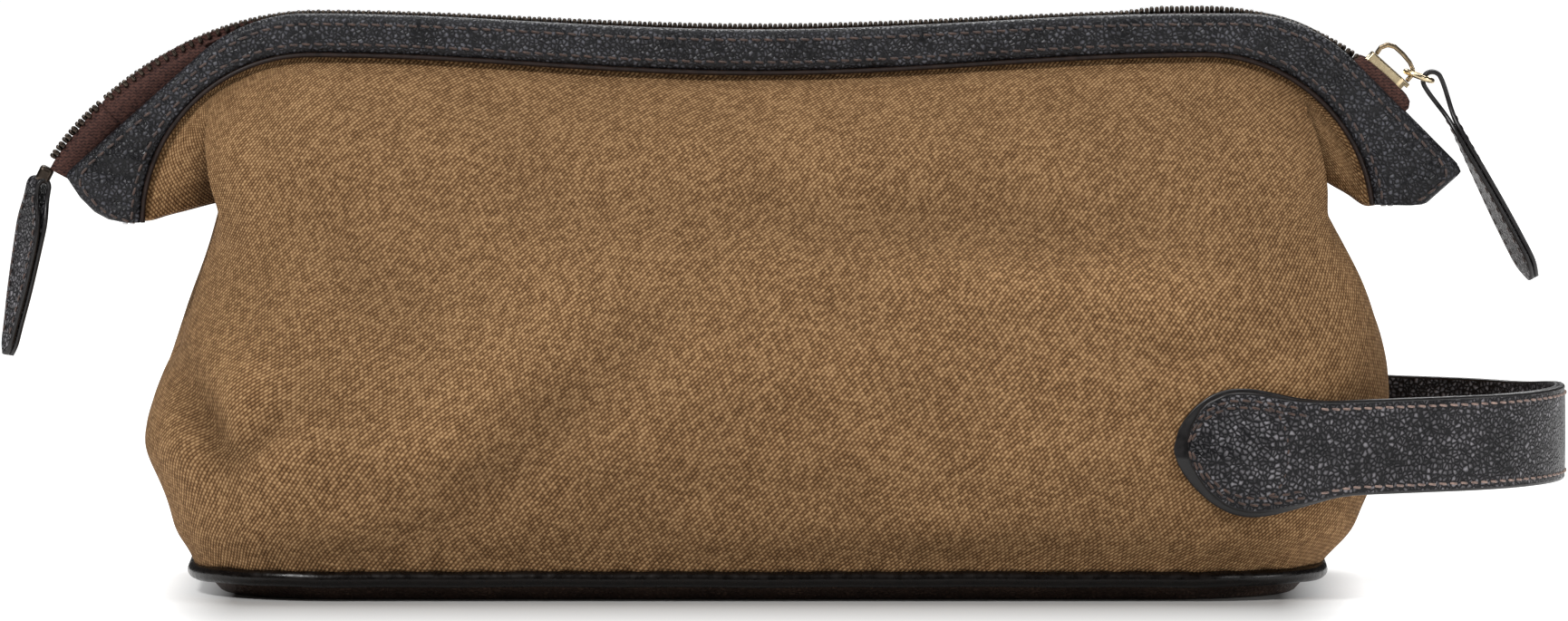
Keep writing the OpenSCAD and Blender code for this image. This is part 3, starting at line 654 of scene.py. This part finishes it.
rows = [(7.3, 0.0), (6.9, 0.0), (6.2, 0.12), (5.6, 0.45), (5.0, 1.1), (4.3, 1.9), (3.4, 2.6),
        (2.4, 3.1), (1.9, 3.4), (4.0, 3.5), (9.0, 3.45)]
base = [np.c_[rounded_rect(123.6 - a, 54.2 - a, max(20.0, 31 - a * 0.6), 24, 40),
              np.full(4 * (25 + 39), z)] for a, z in rows]
base_obj = make("base_leather_skin", tube(base), [M_BASE])
for p in base_obj.data.polygons:
    if len(p.vertices) > 8:
        p.use_smooth = False
rider(base_obj, "bag", "base_leather", "base_leather")

finish_cad("base_board", M_BOARD, 0.2)
finish_cad("piping_cord", M_CORD)
finish_cad("lining_floor", M_LINING_FLAT)

# ---- Strip of leather swept along a path ------------------------------------------------------


def edge_section(half, low, high, crown=0.0, groove_in=0.0, n=11):
    """Closed section of a leather strip: pairs (across, out), with rounded edges."""
    t = high - low
    r = min(0.42 * t, 0.6)
    top = []
    for w in np.linspace(-1, 1, n):
        a = w * (half - r)
        e = half - abs(a)
        dip = groove_in * exp(-((e - 1.35) / 0.28) ** 2)
        top.append((a, high + crown * (1 - w * w) - dip))
    right = [(half - r + r * cos(q), high - r + r * sin(q))
             for q in np.linspace(pi / 2, 0, 5)[1:]]
    right += [(half - r + r * cos(q), low + r + r * sin(q))
              for q in np.linspace(0, -pi / 2, 5)]
    bottom = [(a, low) for a in np.linspace(half - r, -(half - r), n)[1:]]
    left = [(-a, o) for a, o in right[::-1]][1:]
    return top + right + bottom + left[:-1]


def strip_rings(path, out, across, half, low, high, **more):
    """Rings along path; out and across are unit vectors at each point; half is per point."""
    rings = []
    for p, o, a, h in zip(path, out, across, half):
        sec = edge_section(max(h, 0.7), low, high, **more)
        rings.append([p + a * u + o * v for u, v in sec])
    return np.array(rings)


def strip_mesh(name, rings, n=11, painted_top=False):
    """A closed strip of leather with painted edges."""
    count, m = rings.shape[0] - 1, rings.shape[1]
    kind = np.zeros(m, int)
    kind[n - 1:n + 8] = 1
    kind[2 * n + 7:] = 1
    kind[m - 1] = 1
    if painted_top:
        kind[:n - 1] = 1
    index = np.concatenate([np.tile(kind, count), [1, 1]])
    return make(name, tube(rings), [M_STRAP, M_EDGE], index=index)


def stitches(points, out, pitch=2.7, length=1.95, wide=0.27, high=0.2, sink=0.3):
    """Thread stitches along a line on a surface: points and outward unit vectors."""
    points, out = np.asarray(points, float), np.asarray(out, float)
    s = run_along(points)

    def at(q, a):
        return np.stack([np.interp(q, s, a[:, i]) for i in range(3)], -1)

    stations = np.array([-1, -0.82, -0.4, 0.4, 0.82, 1])
    size = np.array([0.45, 0.85, 1, 1, 0.85, 0.45])
    lift = np.array([-1, -0.35, 0.25, 0.25, -0.35, -1]) * sink
    ring = circle(8)
    parts = []
    for k in range(int(s[-1] / pitch)):
        mid = (k + 0.5) * pitch
        q = mid + stations * length / 2
        if q[-1] > s[-1] or q[0] < 0:
            continue
        p, o = at(q, points), unit(at(q, out))
        t = unit(at(q + 0.05, points) - at(q - 0.05, points))
        b = np.cross(t, o)
        skew = (0.1 * np.array([-1, -0.8, -0.4, 0.4, 0.8, 1]))[:, None] * b
        p = p + o * (lift + high * 0.4)[:, None] + skew
        rings = (p[:, None] + (b[:, None] * (wide * np.cos(ring))[None, :, None]
                               + o[:, None] * (high * np.sin(ring))[None, :, None])
                 * size[:, None, None])
        parts.append(tube(rings))
    return join_parts(parts)


# ---- Trims of the mouth -----------------------------------------------------------------------


def polar(cx, cz, radius, turn):
    a = np.radians(turn)
    return np.stack([cx + radius * np.cos(a), cz + radius * np.sin(a)], -1)


def outer_top(x):
    return 126 - 3.5 * (1 + np.cos(pi * x / SHOULDER_X)) / 2


def outer_edge(end):
    """Outer edge of the trim on one side, x counted from the middle."""
    x = np.linspace(0, SHOULDER_X, 40)
    if end > 0:
        cx = 106.5
        leg = [[153.9, 92.9], [154.8, 91.9], [154.9, 91.2], [154.3, 90.4], [147.4, 84.3],
               [146.4, 83.9], [144.5, 83.75]]
    else:
        cx = 99.5
        leg = [[151.9, 91.2], [152.3, 90.5], [152.2, 89.9], [149.2, 85.4], [146, 82.2],
               [143, 80.6], [139.5, 79.95]]
    return np.concatenate([np.stack([x, outer_top(x)], -1),
                           polar(cx, 91, 35, np.linspace(90, 45, 24)), leg])


def trim_lines(end):
    """Matched points of the inner and outer edges, from the middle of the top to the leg."""
    low = {1: 6.0, -1: 0.0}[end]
    x = np.linspace(0, SHOULDER_X, 90)[:-1]
    dense = resample(outer_edge(end), 0.2)
    from_arc = dense - np.array([SHOULDER_X, SHOULDER_Z])
    ang = np.degrees(np.arctan2(from_arc[:, 1], from_arc[:, 0]))
    corner = int(np.argmax(dense[:, 0]))
    round_a = np.linspace(90, ang[corner], 70)
    reach = np.interp(-round_a, -ang[:corner + 1], np.hypot(*from_arc[:corner + 1].T))
    rest = resample(dense[corner:], 0.6)[1:]
    rest_a = np.linspace(ang[corner], low, len(rest) + 1)[1:]
    inner = [np.stack([x, arch_top(x, SEAM_R)], -1)]
    inner += [polar(SHOULDER_X, SHOULDER_Z, SEAM_R, a) for a in (round_a, rest_a)]
    outer = [np.stack([x, outer_top(x)], -1), polar(SHOULDER_X, SHOULDER_Z, reach, round_a), rest]
    return np.concatenate(inner), np.concatenate(outer)


# From the left leg over the top to the right leg.
inner_line, outer_line = (np.concatenate([(left * np.array([-1, 1]))[:0:-1], right])
                          for left, right in zip(trim_lines(-1), trim_lines(1)))
edge_gap = np.linalg.norm(outer_line - inner_line, axis=1)


def wrinkle(x, z, k):
    """Small upright creases in the trim's ends, in millimetres."""
    along = np.hypot(x - np.sign(x) * SHOULDER_X, z - SHOULDER_Z)
    turn = np.degrees(np.arctan2(z - SHOULDER_Z, np.abs(x) - SHOULDER_X))
    near = np.where(np.abs(x) > SHOULDER_X, ease((62 - turn) / 25), 0.0)
    a = turn * 0.7
    crease = (np.sin(a * 1.05 + 0.8 * np.sin(along * 0.45)) * 0.6
              + np.sin(a * 2.3 + along * 0.3 + 1.3) * 0.3)
    soft = 0.1 * np.sin(x / 6.1) * np.sin(z / 4.3 + x / 17.0)
    return 0.5 * near * crease * np.sin(pi * np.clip(k, 0.02, 0.98)) + soft


def trim_rings(side):
    """Closed section of the turned leather: face, rounded outer edge, inside and underside."""
    deep = 4.45 + 1.95 * (1 - ease((inner_line[:, 1] - 86) / 9))
    face = [(0.0, 6.9), (0.012, 7.55), (0.05, 7.95), (0.13, 8.12), (0.25, 8.2), (0.4, 8.22),
            (0.55, 8.22), (0.7, 8.2), (0.82, 8.08), (0.9, 7.8), (0.955, 7.35), (0.985, 6.8),
            (1.0, 6.2), (1.0, 5.4), (0.985, 4.4), (0.965, 3.4), (0.93, 2.5)]
    rings = []
    for inner, outer, d in zip(inner_line, outer_line, deep):
        sec = [(k, max(d, y)) for k, y in face]
        sec += [(k, d) for k in (0.86, 0.7, 0.5, 0.3, 0.12)]
        sec += [(0.03, d + 0.05), (0.0, d + 0.25), (0.0, max(d, 4.5)), (0.0, max(d, 5.8))]
        k, y = np.array(sec).T
        p = inner + (outer - inner) * k[:, None]
        y = y + np.where(y > 7.2, wrinkle(p[:, 0], p[:, 1], k), 0)
        rings.append(np.stack([p[:, 0], -side * y, p[:, 1]], -1))
    return rings


def on_trim(side, share, inset):
    """Line on the trim's face, inset from its inner (share 0) or outer (share 1) edge."""
    k = np.abs(share - inset / edge_gap)[:, None]
    p = inner_line + (outer_line - inner_line) * k
    y = 8.2 + wrinkle(p[:, 0], p[:, 1], k[:, 0])
    return np.stack([p[:, 0], -side * y, p[:, 1]], -1)


def smooth_line(p, n=9):
    k = np.ones(n) / n
    pad = np.concatenate([np.repeat(p[:1], n // 2, 0), p, np.repeat(p[-1:], n // 2, 0)])
    return np.stack([np.convolve(pad[:, i], k, "valid") for i in range(3)], -1)


for side, word in SIDES:
    body = f"{word}_frame"
    rider(make(f"trim_leather_{word}", tube(trim_rings(side)), [M_LEATHER]), body, "leather",
          f"trim_{word}")

    inward = unit(inner_line - outer_line)
    rings = [[[x + nx * 0.55 * (1 + cos(w)), -side * (7.5 + 0.72 * sin(w)),
               z + nz * 0.55 * (1 + cos(w))]
              for w in circle(14)]
             for (x, z), (nx, nz) in zip(inner_line, inward)]
    rider(make(f"trim_bead_{word}", tube(rings), [M_BROWN_EDGE]), body, "leather_edge",
          f"trim_edge_{word}")

    face_out = np.tile([0.0, -side, 0.0], (len(inner_line), 1))
    thread = sew(f"trim_stitches_{word}",
                 [stitches(smooth_line(on_trim(side, share, inset)), face_out)
                  for share, inset in ((0, 1.9), (1, 2.2))], M_THREAD_DARK)
    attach(thread, body)
    finish_cad(f"frame_strip_{word}", M_STEEL, 0.15, 2)
    finish_cad(f"zip_tape_{word}", M_TAPE)
    finish_cad(f"zip_top_stop_{word}", M_BRASS, 0.15)

for name in ("hinge_rivet_left", "hinge_rivet_right"):
    finish_cad(name, M_STEEL, 0.15)

# ---- Zip --------------------------------------------------------------------------------------

LEFT = (-98.5, 61.0, 66.0)
RIGHT = (98.5, 68.0, 59.0)
RIDGE_Z, RIDGE_SAG = 127.0, 3.0
TAIL_TOP, TAIL_END, TEETH_END = 46.0, 62.0, 36.0
PITCH = 2.2


def on_left(a, n):
    q = radians(a)
    return (LEFT[0] - (LEFT[2] + n) * sin(q), LEFT[1] + (LEFT[2] + n) * cos(q))


def on_right(a, n):
    q = radians(a)
    return (RIGHT[0] + (RIGHT[2] + n) * sin(q), RIGHT[1] + (RIGHT[2] + n) * cos(q))


def drop(a):
    """How far the row lies below the hinge arc's line, by angle from the top of the left arc."""
    return -float(np.interp(a, [0, 28, 42, 60], [1.35, 2.3, 1.8, 0.2]))


def ridge_top(x):
    return RIDGE_Z - RIDGE_SAG * (1 + cos(pi * x / SHOULDER_X)) / 2


def ridge_tilt(x):
    return degrees((ridge_top(x - 1) - ridge_top(x + 1)) / 2)


def row_top(x):
    """Height of the teeth along the top, sunk into the tape short of the slider's travel."""
    return ridge_top(x) - mix(1.35, 0.45, float(ease((x - 78) / 12)))


def tooth_shape():
    """One metal tooth, centred on the row: X along it, Y across from the root to the nose."""
    sections = [(-2.45, 0.62, 1.0), (-2.3, 0.9, 1.28), (-1.7, 0.98, 1.34), (-0.9, 0.98, 1.34),
                (-0.3, 0.86, 1.26), (0.2, 0.72, 1.14), (0.65, 0.9, 1.2), (1.0, 0.86, 1.08),
                (1.2, 0.5, 0.7)]
    ring = circle(12)
    c, s = np.cos(ring), np.sin(ring)
    sq = (np.abs(c) ** 3.2 + np.abs(s) ** 3.2) ** (-1 / 3.2)
    return tube([np.stack([0.51 * lx * c * sq, np.full(12, y), 0.66 * hz * s * sq], -1)
                 for y, lx, hz in sections])


TOOTH = tooth_shape()
ROW_RUN, ROW_DROP = 2 * SHOULDER_X, -0.45
ROW_COUNT = int(ROW_RUN / PITCH)
NEXT_ROW = {1: 0.0, -1: 0.5}


def tooth_at(x, z, tilt, side):
    v, f = TOOTH
    c, s = cos(radians(tilt)), sin(radians(tilt))
    out = np.stack([x + v[:, 0] * c + v[:, 2] * s, side * v[:, 1],
                    z - v[:, 0] * s + v[:, 2] * c], -1)
    return out, f if side > 0 else [list(q)[::-1] for q in f]


def arc_teeth(side, low, high):
    """Teeth along the left arc between two angles."""
    turns = [degrees((i + 0.75 - NEXT_ROW[side]) * PITCH / LEFT[2]) for i in range(61)]
    return [tooth_at(*on_left(a, drop(a)), -a, side) for a in turns if low < a < high]


for side, word in SIDES:
    parts = arc_teeth(side, 0, TAIL_TOP - 1)
    for i in range(ROW_COUNT):
        x = -SHOULDER_X + (i + NEXT_ROW[side] + 0.25) * ROW_RUN / ROW_COUNT
        parts.append(tooth_at(x, row_top(x), ridge_tilt(x), side))
    for i in range(61):
        a = degrees((i + 0.25 + NEXT_ROW[side]) * PITCH / RIGHT[2])
        if a < TEETH_END - 1:
            parts.append(tooth_at(*on_right(a, ROW_DROP), a, side))
    rider(make(f"teeth_{word}", join_parts(parts), [M_TEETH]), f"{word}_frame", "zip_teeth",
          f"zip_teeth_{word}")

parts = [tooth for side in (1, -1) for tooth in arc_teeth(side, TAIL_TOP, TAIL_END - 1.5)]
rider(make("teeth_tail", join_parts(parts), [M_TEETH]), "bag", "zip_teeth", "zip_tail_teeth")
finish_cad("zip_tail_tape", M_TAPE)


def swept(side, points, tilts, section):
    """Tube along points (x, z), its section given as (distance from the middle, along normal)."""
    rings = []
    for (x, z), a in zip(points, tilts):
        q = radians(a)
        rings.append([[x + n * sin(q), -side * y, z + n * cos(q)] for y, n in section])
    return tube(rings)


def edge_cord(side, points, tilts):
    ring = circle(12)
    return swept(side, points, tilts, [(1.35 + 0.65 * cos(b), -1.3 + 0.65 * sin(b))
                                       for b in ring])


def puffed(side, points, tilts, deep):
    """Soft tape below the teeth; deep is how far down it reaches."""
    section = [(1.0, -1.2), (1.7, -1.15), (2.3, -1.6), (2.6, -2.6), (2.6, -3.8), (2.3, -5.2),
               (1.9, -deep), (1.1, -deep - 0.2), (0.9, -4.0)]
    return swept(side, points, tilts, section)


SHELF = [(1.4, -3.0), (4.7, -3.1), (4.7, -3.6), (1.4, -3.5)]
TAIL_FLAP = [(0.25, -1.8), (0.85, -1.8), (0.85, -11.0), (0.25, -11.0)]
def along_zip(left, right, left_n, top, right_n):
    """Points and tilts from an angle on the left arc, over the top, to one on the right arc."""
    left_a, right_a = np.arange(0, left + 0.1)[::-1], np.arange(0, right + 0.1)
    ridge_x = np.linspace(-SHOULDER_X, SHOULDER_X, 90)[1:-1]
    points = ([on_left(a, left_n(a)) for a in left_a] + [(x, top(x)) for x in ridge_x]
              + [on_right(a, right_n) for a in right_a])
    return points, np.concatenate([-left_a, [ridge_tilt(x) for x in ridge_x], right_a])


cord_line = along_zip(TAIL_TOP, TEETH_END, drop, row_top, ROW_DROP)
shelf_line = along_zip(22, 52, lambda a: 0, ridge_top, 0)
puff_a = np.arange(18, TAIL_TOP + 0.1)
block_a = np.arange(34.5, 50.6)
fall = 1 - np.minimum(1, np.minimum(block_a - 34.1, 50.9 - block_a) / 2.2)
for side, word in SIDES:
    parts = [edge_cord(side, *cord_line),
             puffed(side, [on_left(a, drop(a)) for a in puff_a], -puff_a, 8.0),
             swept(side, *shelf_line, SHELF)]
    rider(make(f"tape_cord_{word}", join_parts(parts), [M_TAPE]), f"{word}_frame", "zip_tape")
    rings = []
    for a, low in zip(block_a, fall):
        top, thick = 0.7 - 2.2 * low ** 2, 1.1 - 0.5 * low ** 2
        ring = [(4.3, top - 0.35), (4.3 + thick * 0.5, top), (4.3 + thick, top - 0.5),
                (4.3 + thick * 1.15, top - 2.2), (4.3 + thick, -5.4), (4.3, -5.4)]
        rings.append([[on_right(a, n)[0], -side * (y + 0.08 * sin(a * 1.7 + n)),
                       on_right(a, n)[1]] for y, n in ring])
    rider(make(f"tape_fold_{word}", tube(rings), [M_TAPE]), f"{word}_frame", "zip_tape")

tail_a = np.arange(TAIL_TOP + 0.1, TAIL_END + 0.3, 0.8)
under_a = np.arange(44.0, 48.1)
tail_points = [on_left(a, drop(a)) for a in tail_a]
parts = []
for side in (1, -1):
    parts += [edge_cord(side, tail_points, -tail_a), puffed(side, tail_points, -tail_a, 7.0),
              swept(side, [on_left(a, 0) for a in under_a], -under_a, TAIL_FLAP)]
rider(make("tape_cord_tail", join_parts(parts), [M_TAPE]), "bag", "zip_tape")
finish_cad("zip_bottom_stop", M_TEETH, 0.9, 4)
finish_cad("slider_body", M_BRASS, 0.45, 4)
finish_cad("slider_bail", M_BRASS_DARK, 0.4, 4)

RING_PIVOT = np.array([142.877, 0, 112.952])
PULL_PIVOT = np.array([148.703, 0, 110.831])
RING_R, RING_WIRE = 3.1, 0.6
dip = radians(20)
ax_u, ax_v = np.array([cos(dip), 0, -sin(dip)]), np.array([0.0, 1.0, 0.0])
ax_w = np.cross(ax_u, ax_v)
rings = []
for a in circle(72):
    o = ax_u * cos(a) + ax_v * sin(a)
    rings.append([RING_PIVOT + RING_R * ax_u + o * (RING_R + RING_WIRE * cos(b))
                  + ax_w * RING_WIRE * sin(b)
                  for b in circle(20)])
rider(make("ring_brass", tube(rings, closed=True), [M_BRASS]), "ring", "brass", "pull_ring")

# ---- Pull and end tab --------------------------------------------------------------------------


def folded_strap(pivot, lean, long, layer, eye, widths, part_at, spread, turn, inset=1.5):
    """Folded leather hanging from pivot: rings, and lines with normals for its stitches."""
    q = radians(lean)
    down = np.array([sin(q), 0, -cos(q)])
    flat_side = np.array([cos(q), 0, sin(q)])
    y_axis = np.array([0.0, 1.0, 0.0])
    r = eye + layer / 2
    widths = np.array(widths, float)

    def offset(t):
        flat = layer / 2 + 0.08
        return (flat if t > part_at else mix(r, flat, float(ease(t / part_at)) ** 0.9)) + spread(t)

    def axes(t):
        c, w = cos(radians(turn(t))), sin(radians(turn(t)))
        return flat_side * c + y_axis * w, y_axis * c - flat_side * w

    def half(t):
        return float(spline(widths[:, 0], widths[:, 1], [t])[0])

    run = np.concatenate([np.linspace(long, part_at, 60), np.linspace(part_at, 0, 24)[1:]])
    side = axes(0)[0]
    path = [(t, pivot + down * t - axes(t)[0] * offset(t)) for t in run]
    path += [(0, pivot - side * r * cos(a) - down * r * sin(a))
             for a in np.linspace(0, pi, 18)[1:-1]]
    path += [(t, pivot + down * t + axes(t)[0] * offset(t)) for t in run[::-1]]
    across = np.array([axes(t)[1] for t, _ in path])
    size = [half(t) for t, _ in path]
    path = np.array([q for _, q in path])
    out = unit(np.cross(across, unit(np.gradient(path, axis=0))))
    if out[0] @ axes(long)[0] > 0:
        out = -out
    rings = strip_rings(path, out, across, size, -layer / 2, layer / 2, crown=0.06)
    sewn = [t for t in np.linspace(2, long - 2, 90) if half(t) > inset + 0.9]
    lines = []
    for face in (-1, 1):
        for edge in (-1, 1):
            line = [pivot + down * t + face * axes(t)[0] * (offset(t) + layer / 2)
                    + axes(t)[1] * edge * (half(t) - inset) for t in sewn]
            lines.append((np.array(line), np.array([face * axes(t)[0] for t in sewn])))
    return rings, lines


pull_rings, pull_lines = folded_strap(
    PULL_PIVOT, 27.3, 49, 1.0, 1.5, [(0, 1.6), (7, 1.8), (12, 4.2), (17, 5), (30, 5), (42, 4.9),
                                     (46, 4.1), (49, 1.2)],
    11, lambda t: 0.0, lambda t: 17 * float(ease((t - 4) / 38)))
rider(strip_mesh("pull_strip", pull_rings), "pull", "leather", "pull_leather")
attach(sew("pull_stitches", [stitches(line, o, pitch=2.5, length=1.8, high=0.09, sink=0.2)
                              for line, o in pull_lines], M_THREAD_DARK), "pull")

TAB_PIVOT = np.array([-158.521, 0, 87.473])
tab_rings, tab_lines = folded_strap(
    TAB_PIVOT + np.array([0, 0, 0.4]), -10.5, 38.2, 1.1, 0.75,
    [(0, 2.9), (3, 3.3), (7, 4.9), (12, 5.5), (18, 5.1), (26, 4.1), (33, 2.9), (36.8, 1.9),
     (38.2, 0.9)],
    8, lambda t: 0.35 * exp(-((t - 6) / 4.5) ** 2), lambda t: 27.0, 1.3)
rider(strip_mesh("end_tab_strip", tab_rings), "end_tab", "leather", "zip_end_tab")
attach(sew("end_tab_stitches", [stitches(line, o, pitch=2.5, length=1.8)
                                 for line, o in tab_lines], M_THREAD_DARK), "end_tab")

# ---- Carry strap -------------------------------------------------------------------------------

STRAP_Z, TIP_X = 33.3, 90.6
LEAVE = radians(28)
BELLY_R = float(table(CORNER, 32))
ARC_CX = float(table(LEN_R, STRAP_Z)) - BELLY_R
ARC_CY = -(61.0 - BELLY_R)
LEAVE_X = ARC_CX + (BELLY_R + 0.5) * sin(LEAVE)
LEAVE_Y = ARC_CY - (BELLY_R + 0.5) * cos(LEAVE)
AWAY = np.array([sin(LEAVE), -cos(LEAVE)])
REACH_IN = 175.55
NOSE_X = (REACH_IN - AWAY @ np.array([LEAVE_X, LEAVE_Y])) / (1 - AWAY[0])
NOSE_R = REACH_IN - NOSE_X


def strap_plan():
    """Inner face of the strap seen from above, from the front tip to the back one."""
    D = float(table(DEPTH, STRAP_Z)) + 0.5
    pts = [[x, -D] for x in TIP_X + 14 * (1 - np.cos(np.linspace(0, pi / 2, 26)))]
    a0 = asin((pts[-1][0] - ARC_CX) / (BELLY_R + 0.5))
    pts += [[ARC_CX + (BELLY_R + 0.5) * sin(a), ARC_CY - (BELLY_R + 0.5) * cos(a)]
            for a in np.linspace(a0, LEAVE, 16)[1:]]
    start = np.array([NOSE_X, 0]) + NOSE_R * AWAY
    pts += [list(mix(np.array([LEAVE_X, LEAVE_Y]), start, t)) for t in np.linspace(0, 1, 14)[1:]]
    pts += [[NOSE_X + NOSE_R * cos(a), NOSE_R * sin(a)]
            for a in np.linspace(LEAVE - pi / 2, 0, 44)[1:]]
    pts = np.array(pts)
    return np.concatenate([pts, (pts * np.array([1, -1]))[-2::-1]])


PLAN = strap_plan()
plan_t = unit(np.gradient(PLAN, axis=0))
plan_n = np.stack([plan_t[:, 1], -plan_t[:, 0]], -1)

# Half heights of the sewn end by distance from its tip: of the lining, and of the face.
END_UP = [(0, 0.9), (1, 4.6), (2, 6.6), (3, 7.9), (5.8, 11.2), (9.1, 13.2), (14.7, 14.1),
          (20, 13.3), (26, 11.7), (33, 10.7)]
END_LOW = [(0, -0.3), (1, 2.8), (2, 4.6), (3, 6), (5.8, 9.4), (9.1, 12.1), (14.7, 14.5),
           (20.2, 14.3), (25.8, 12.9), (37, 10.1)]
FACE_UP = [(0, 2.2), (1, 5.6), (2.8, 9.2), (6.1, 12.3), (11.7, 13.4), (17.2, 12.5), (22.8, 11.3),
           (30, 10.7)]
FACE_LOW = [(0, -0.2), (1, 2.8), (2.8, 6), (6.1, 10.4), (11.7, 13.4), (17.2, 13.4), (22.8, 12.2),
            (34, 10.1)]
FACE_X = 2.8


def end_edges(x, face):
    """Heights of the strap's lower and upper edge, of its lining or of its face."""
    low, up = (FACE_LOW, FACE_UP) if face else (END_LOW, END_UP)
    k = x - TIP_X - FACE_X * face
    step = np.clip(k - 3, 0, 3) / 3
    near = [k + step * i for i in (-3, -2, -1, 0, 1, 2, 3)]
    return -np.mean([table(low, q) for q in near], 0), np.mean([table(up, q) for q in near], 0)


def body_give(x, z, y):
    """How far the sewn end follows the body's belly at heights off the strap's own."""
    turn = np.clip((LEAVE_X - x) / 12, 0, 1)
    give = np.minimum(1.0, table(DEPTH, STRAP_Z) - table(DEPTH, z))
    return -np.sign(y) * give * turn


def strap_point(i, across, out):
    p = PLAN[i] + plan_n[i] * out
    z = STRAP_Z + across - 1.4 * float(ease((p[1] - 4) / 26) * ease((p[0] - 126) / 14))
    return [p[0], p[1] + float(body_give(p[0], z, p[1])), z]


def strap_layer(name, low, high, face, **more):
    bottom, top = end_edges(PLAN[:, 0], face)
    rings = []
    for i in range(len(PLAN)):
        if top[i] - bottom[i] < 1.2 or PLAN[i, 0] < TIP_X + FACE_X * face:
            continue
        half, mid = (top[i] - bottom[i]) / 2, (top[i] + bottom[i]) / 2
        sec = edge_section(float(half), low, high, n=23, **more)
        rings.append([strap_point(i, mid + a, o) for a, o in sec])
    return strip_mesh(name, np.array(rings), n=23, painted_top=not face)


outer_strap = strap_layer("strap_outer", 1.05, 2.62, 1.0, crown=0.12, groove_in=0.16)
inner_strap = strap_layer("strap_lining", 0.12, 1.3, 0.0)
for obj, nodes in ((outer_strap, ["strap_anchor_front", "strap_anchor_back",
                                  "strap_loop_outer"]), (inner_strap, ["strap_loop_inner"])):
    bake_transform(obj)
    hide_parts(*nodes)

ON_END = 119.5
out3 = np.c_[plan_n, np.zeros(len(PLAN))]
bottom, top = end_edges(PLAN[:, 0], 1.0)
far_out = PLAN[:, 0]
on_loop = np.where(far_out > ON_END)[0]
on_ends = [np.where((far_out < ON_END) & (PLAN[:, 1] * q < 0) & (top - bottom > 4.4))[0]
           for q in (1, -1)]
tan_parts, end_parts = [], []
for inset, kept, parts in ((1.8, [on_loop], tan_parts), (1.8, on_ends, end_parts),
                           (3.3, on_ends, end_parts)):
    for keep in kept:
        for edge, at in ((1, bottom), (-1, top)):
            rows = [i for i in keep if top[i] - bottom[i] > 2 * inset + 1]
            line = [strap_point(i, at[i] + edge * inset, 2.66) for i in rows]
            parts.append(stitches(line, out3[rows]))
for flip in (1, -1):
    arc, outs = [], []
    for a in np.linspace(-pi / 2, pi / 2, 40):
        x, h = 110.6 + 5.0 * cos(a), 9.8 * sin(a)
        i = int(np.argmin(np.abs(far_out[:len(PLAN) // 2] - x)))
        i = i if flip > 0 else len(PLAN) - 1 - i
        arc.append([x] + strap_point(i, h, 2.7)[1:])
        outs.append(out3[i])
    end_parts.append(stitches(smooth_line(np.array(arc), 5), outs, pitch=2.6, length=1.8))
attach(sew("strap_end_stitches", end_parts, M_THREAD_END), "bag")
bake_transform(sew("strap_stitches", tan_parts, M_THREAD))

# ---- Studio -------------------------------------------------------------------------------------


def floor_material():
    """Pale floor that glows more away from the bag: its unlit grey round the bag is a painted
    shadow, on top of the bag's own shadow.
    """
    m = Mat("floor", (0.44, 0.436, 0.428, 1), 0.9, Specular_IOR_Level=0.0,
            Emission_Color=(1, 1, 1, 1))
    x, y, _ = m.split(m.coords())
    x_past = m.mul(m.less(m.math("ABSOLUTE", x), 0.112), 5.0)
    front = m.less(m.mul(y, -1.0), 0.05)
    y_past = m.math("MAXIMUM", front, m.mul(m.less(y, 0.02), 4.0))
    far = m.math("SQRT", m.add(*(m.math("POWER", m.math("MAXIMUM", q, 0.0), 2.0)
                                 for q in (x_past, y_past))))
    # Painted shadow: no glow near the bag and full glow beyond; the glow also falls to half far in
    # front of the bag.
    glow = m.mul(m.remap(far, 0.012, 0.11, 0.0, 0.96), m.remap(y, -1.2, 0.1, 0.5, 1))
    m.tree.links.new(glow, m.bsdf.inputs["Emission Strength"])
    return m.mat


bpy.ops.mesh.primitive_circle_add(vertices=96, radius=14, fill_type="NGON", location=(0, 0, 0))
floor = bpy.context.object
floor.name = "floor"
floor.data.materials.append(floor_material())

world = bpy.data.worlds.new("studio")
bpy.context.scene.world = world
world.use_nodes = True
background = world.node_tree.nodes["Background"]
background.inputs[0].default_value = (1, 1, 1, 1)
background.inputs[1].default_value = 0.06


def area_light(name, at, target, size, watts):
    light = bpy.data.lights.new(name, "AREA")
    light.shape = "RECTANGLE"
    light.size, light.size_y = size
    light.energy = watts
    obj = bpy.data.objects.new(name, light)
    obj.location = at
    obj.rotation_euler = (Vector(target) - Vector(at)).to_track_quat("-Z", "Y").to_euler()
    bpy.context.scene.collection.objects.link(obj)


area_light("key", (-0.8, -1.0, 1.35), (0, 0, 0.05), (0.4, 0.4), 24)
area_light("fill", (1.3, -1.5, 0.8), (0, 0, 0.05), (0.3, 0.8), 4)
area_light("side", (1.6, -0.55, 0.4), (0.12, 0, 0.04), (0.7, 0.22), 5)
area_light("top", (0.15, 0.1, 1.6), (0, 0, 0.05), (1.0, 0.4), 8)
area_light("rear", (0.3, 1.6, 1.2), (0, 0, 0.1), (1.4, 0.5), 15)

PHOTO_ELEVATION = radians(3.8)
DISTANCE = 4.5
VIEW_WIDTH = 0.346
target = Vector((0.0058, 0, 0.0601))
camera = bpy.data.cameras.new("camera")
camera.sensor_width = 36
camera.lens = 36 * DISTANCE / VIEW_WIDTH
camera.clip_end = 60
cam = bpy.data.objects.new("camera", camera)
cam.location = target + DISTANCE * Vector((0, -cos(PHOTO_ELEVATION),
                                           sin(PHOTO_ELEVATION)))
cam.rotation_euler = (target - cam.location).to_track_quat("-Z", "Y").to_euler()
bpy.context.scene.collection.objects.link(cam)
bpy.context.scene.camera = cam
bpy.context.scene.view_settings.view_transform = "Standard"
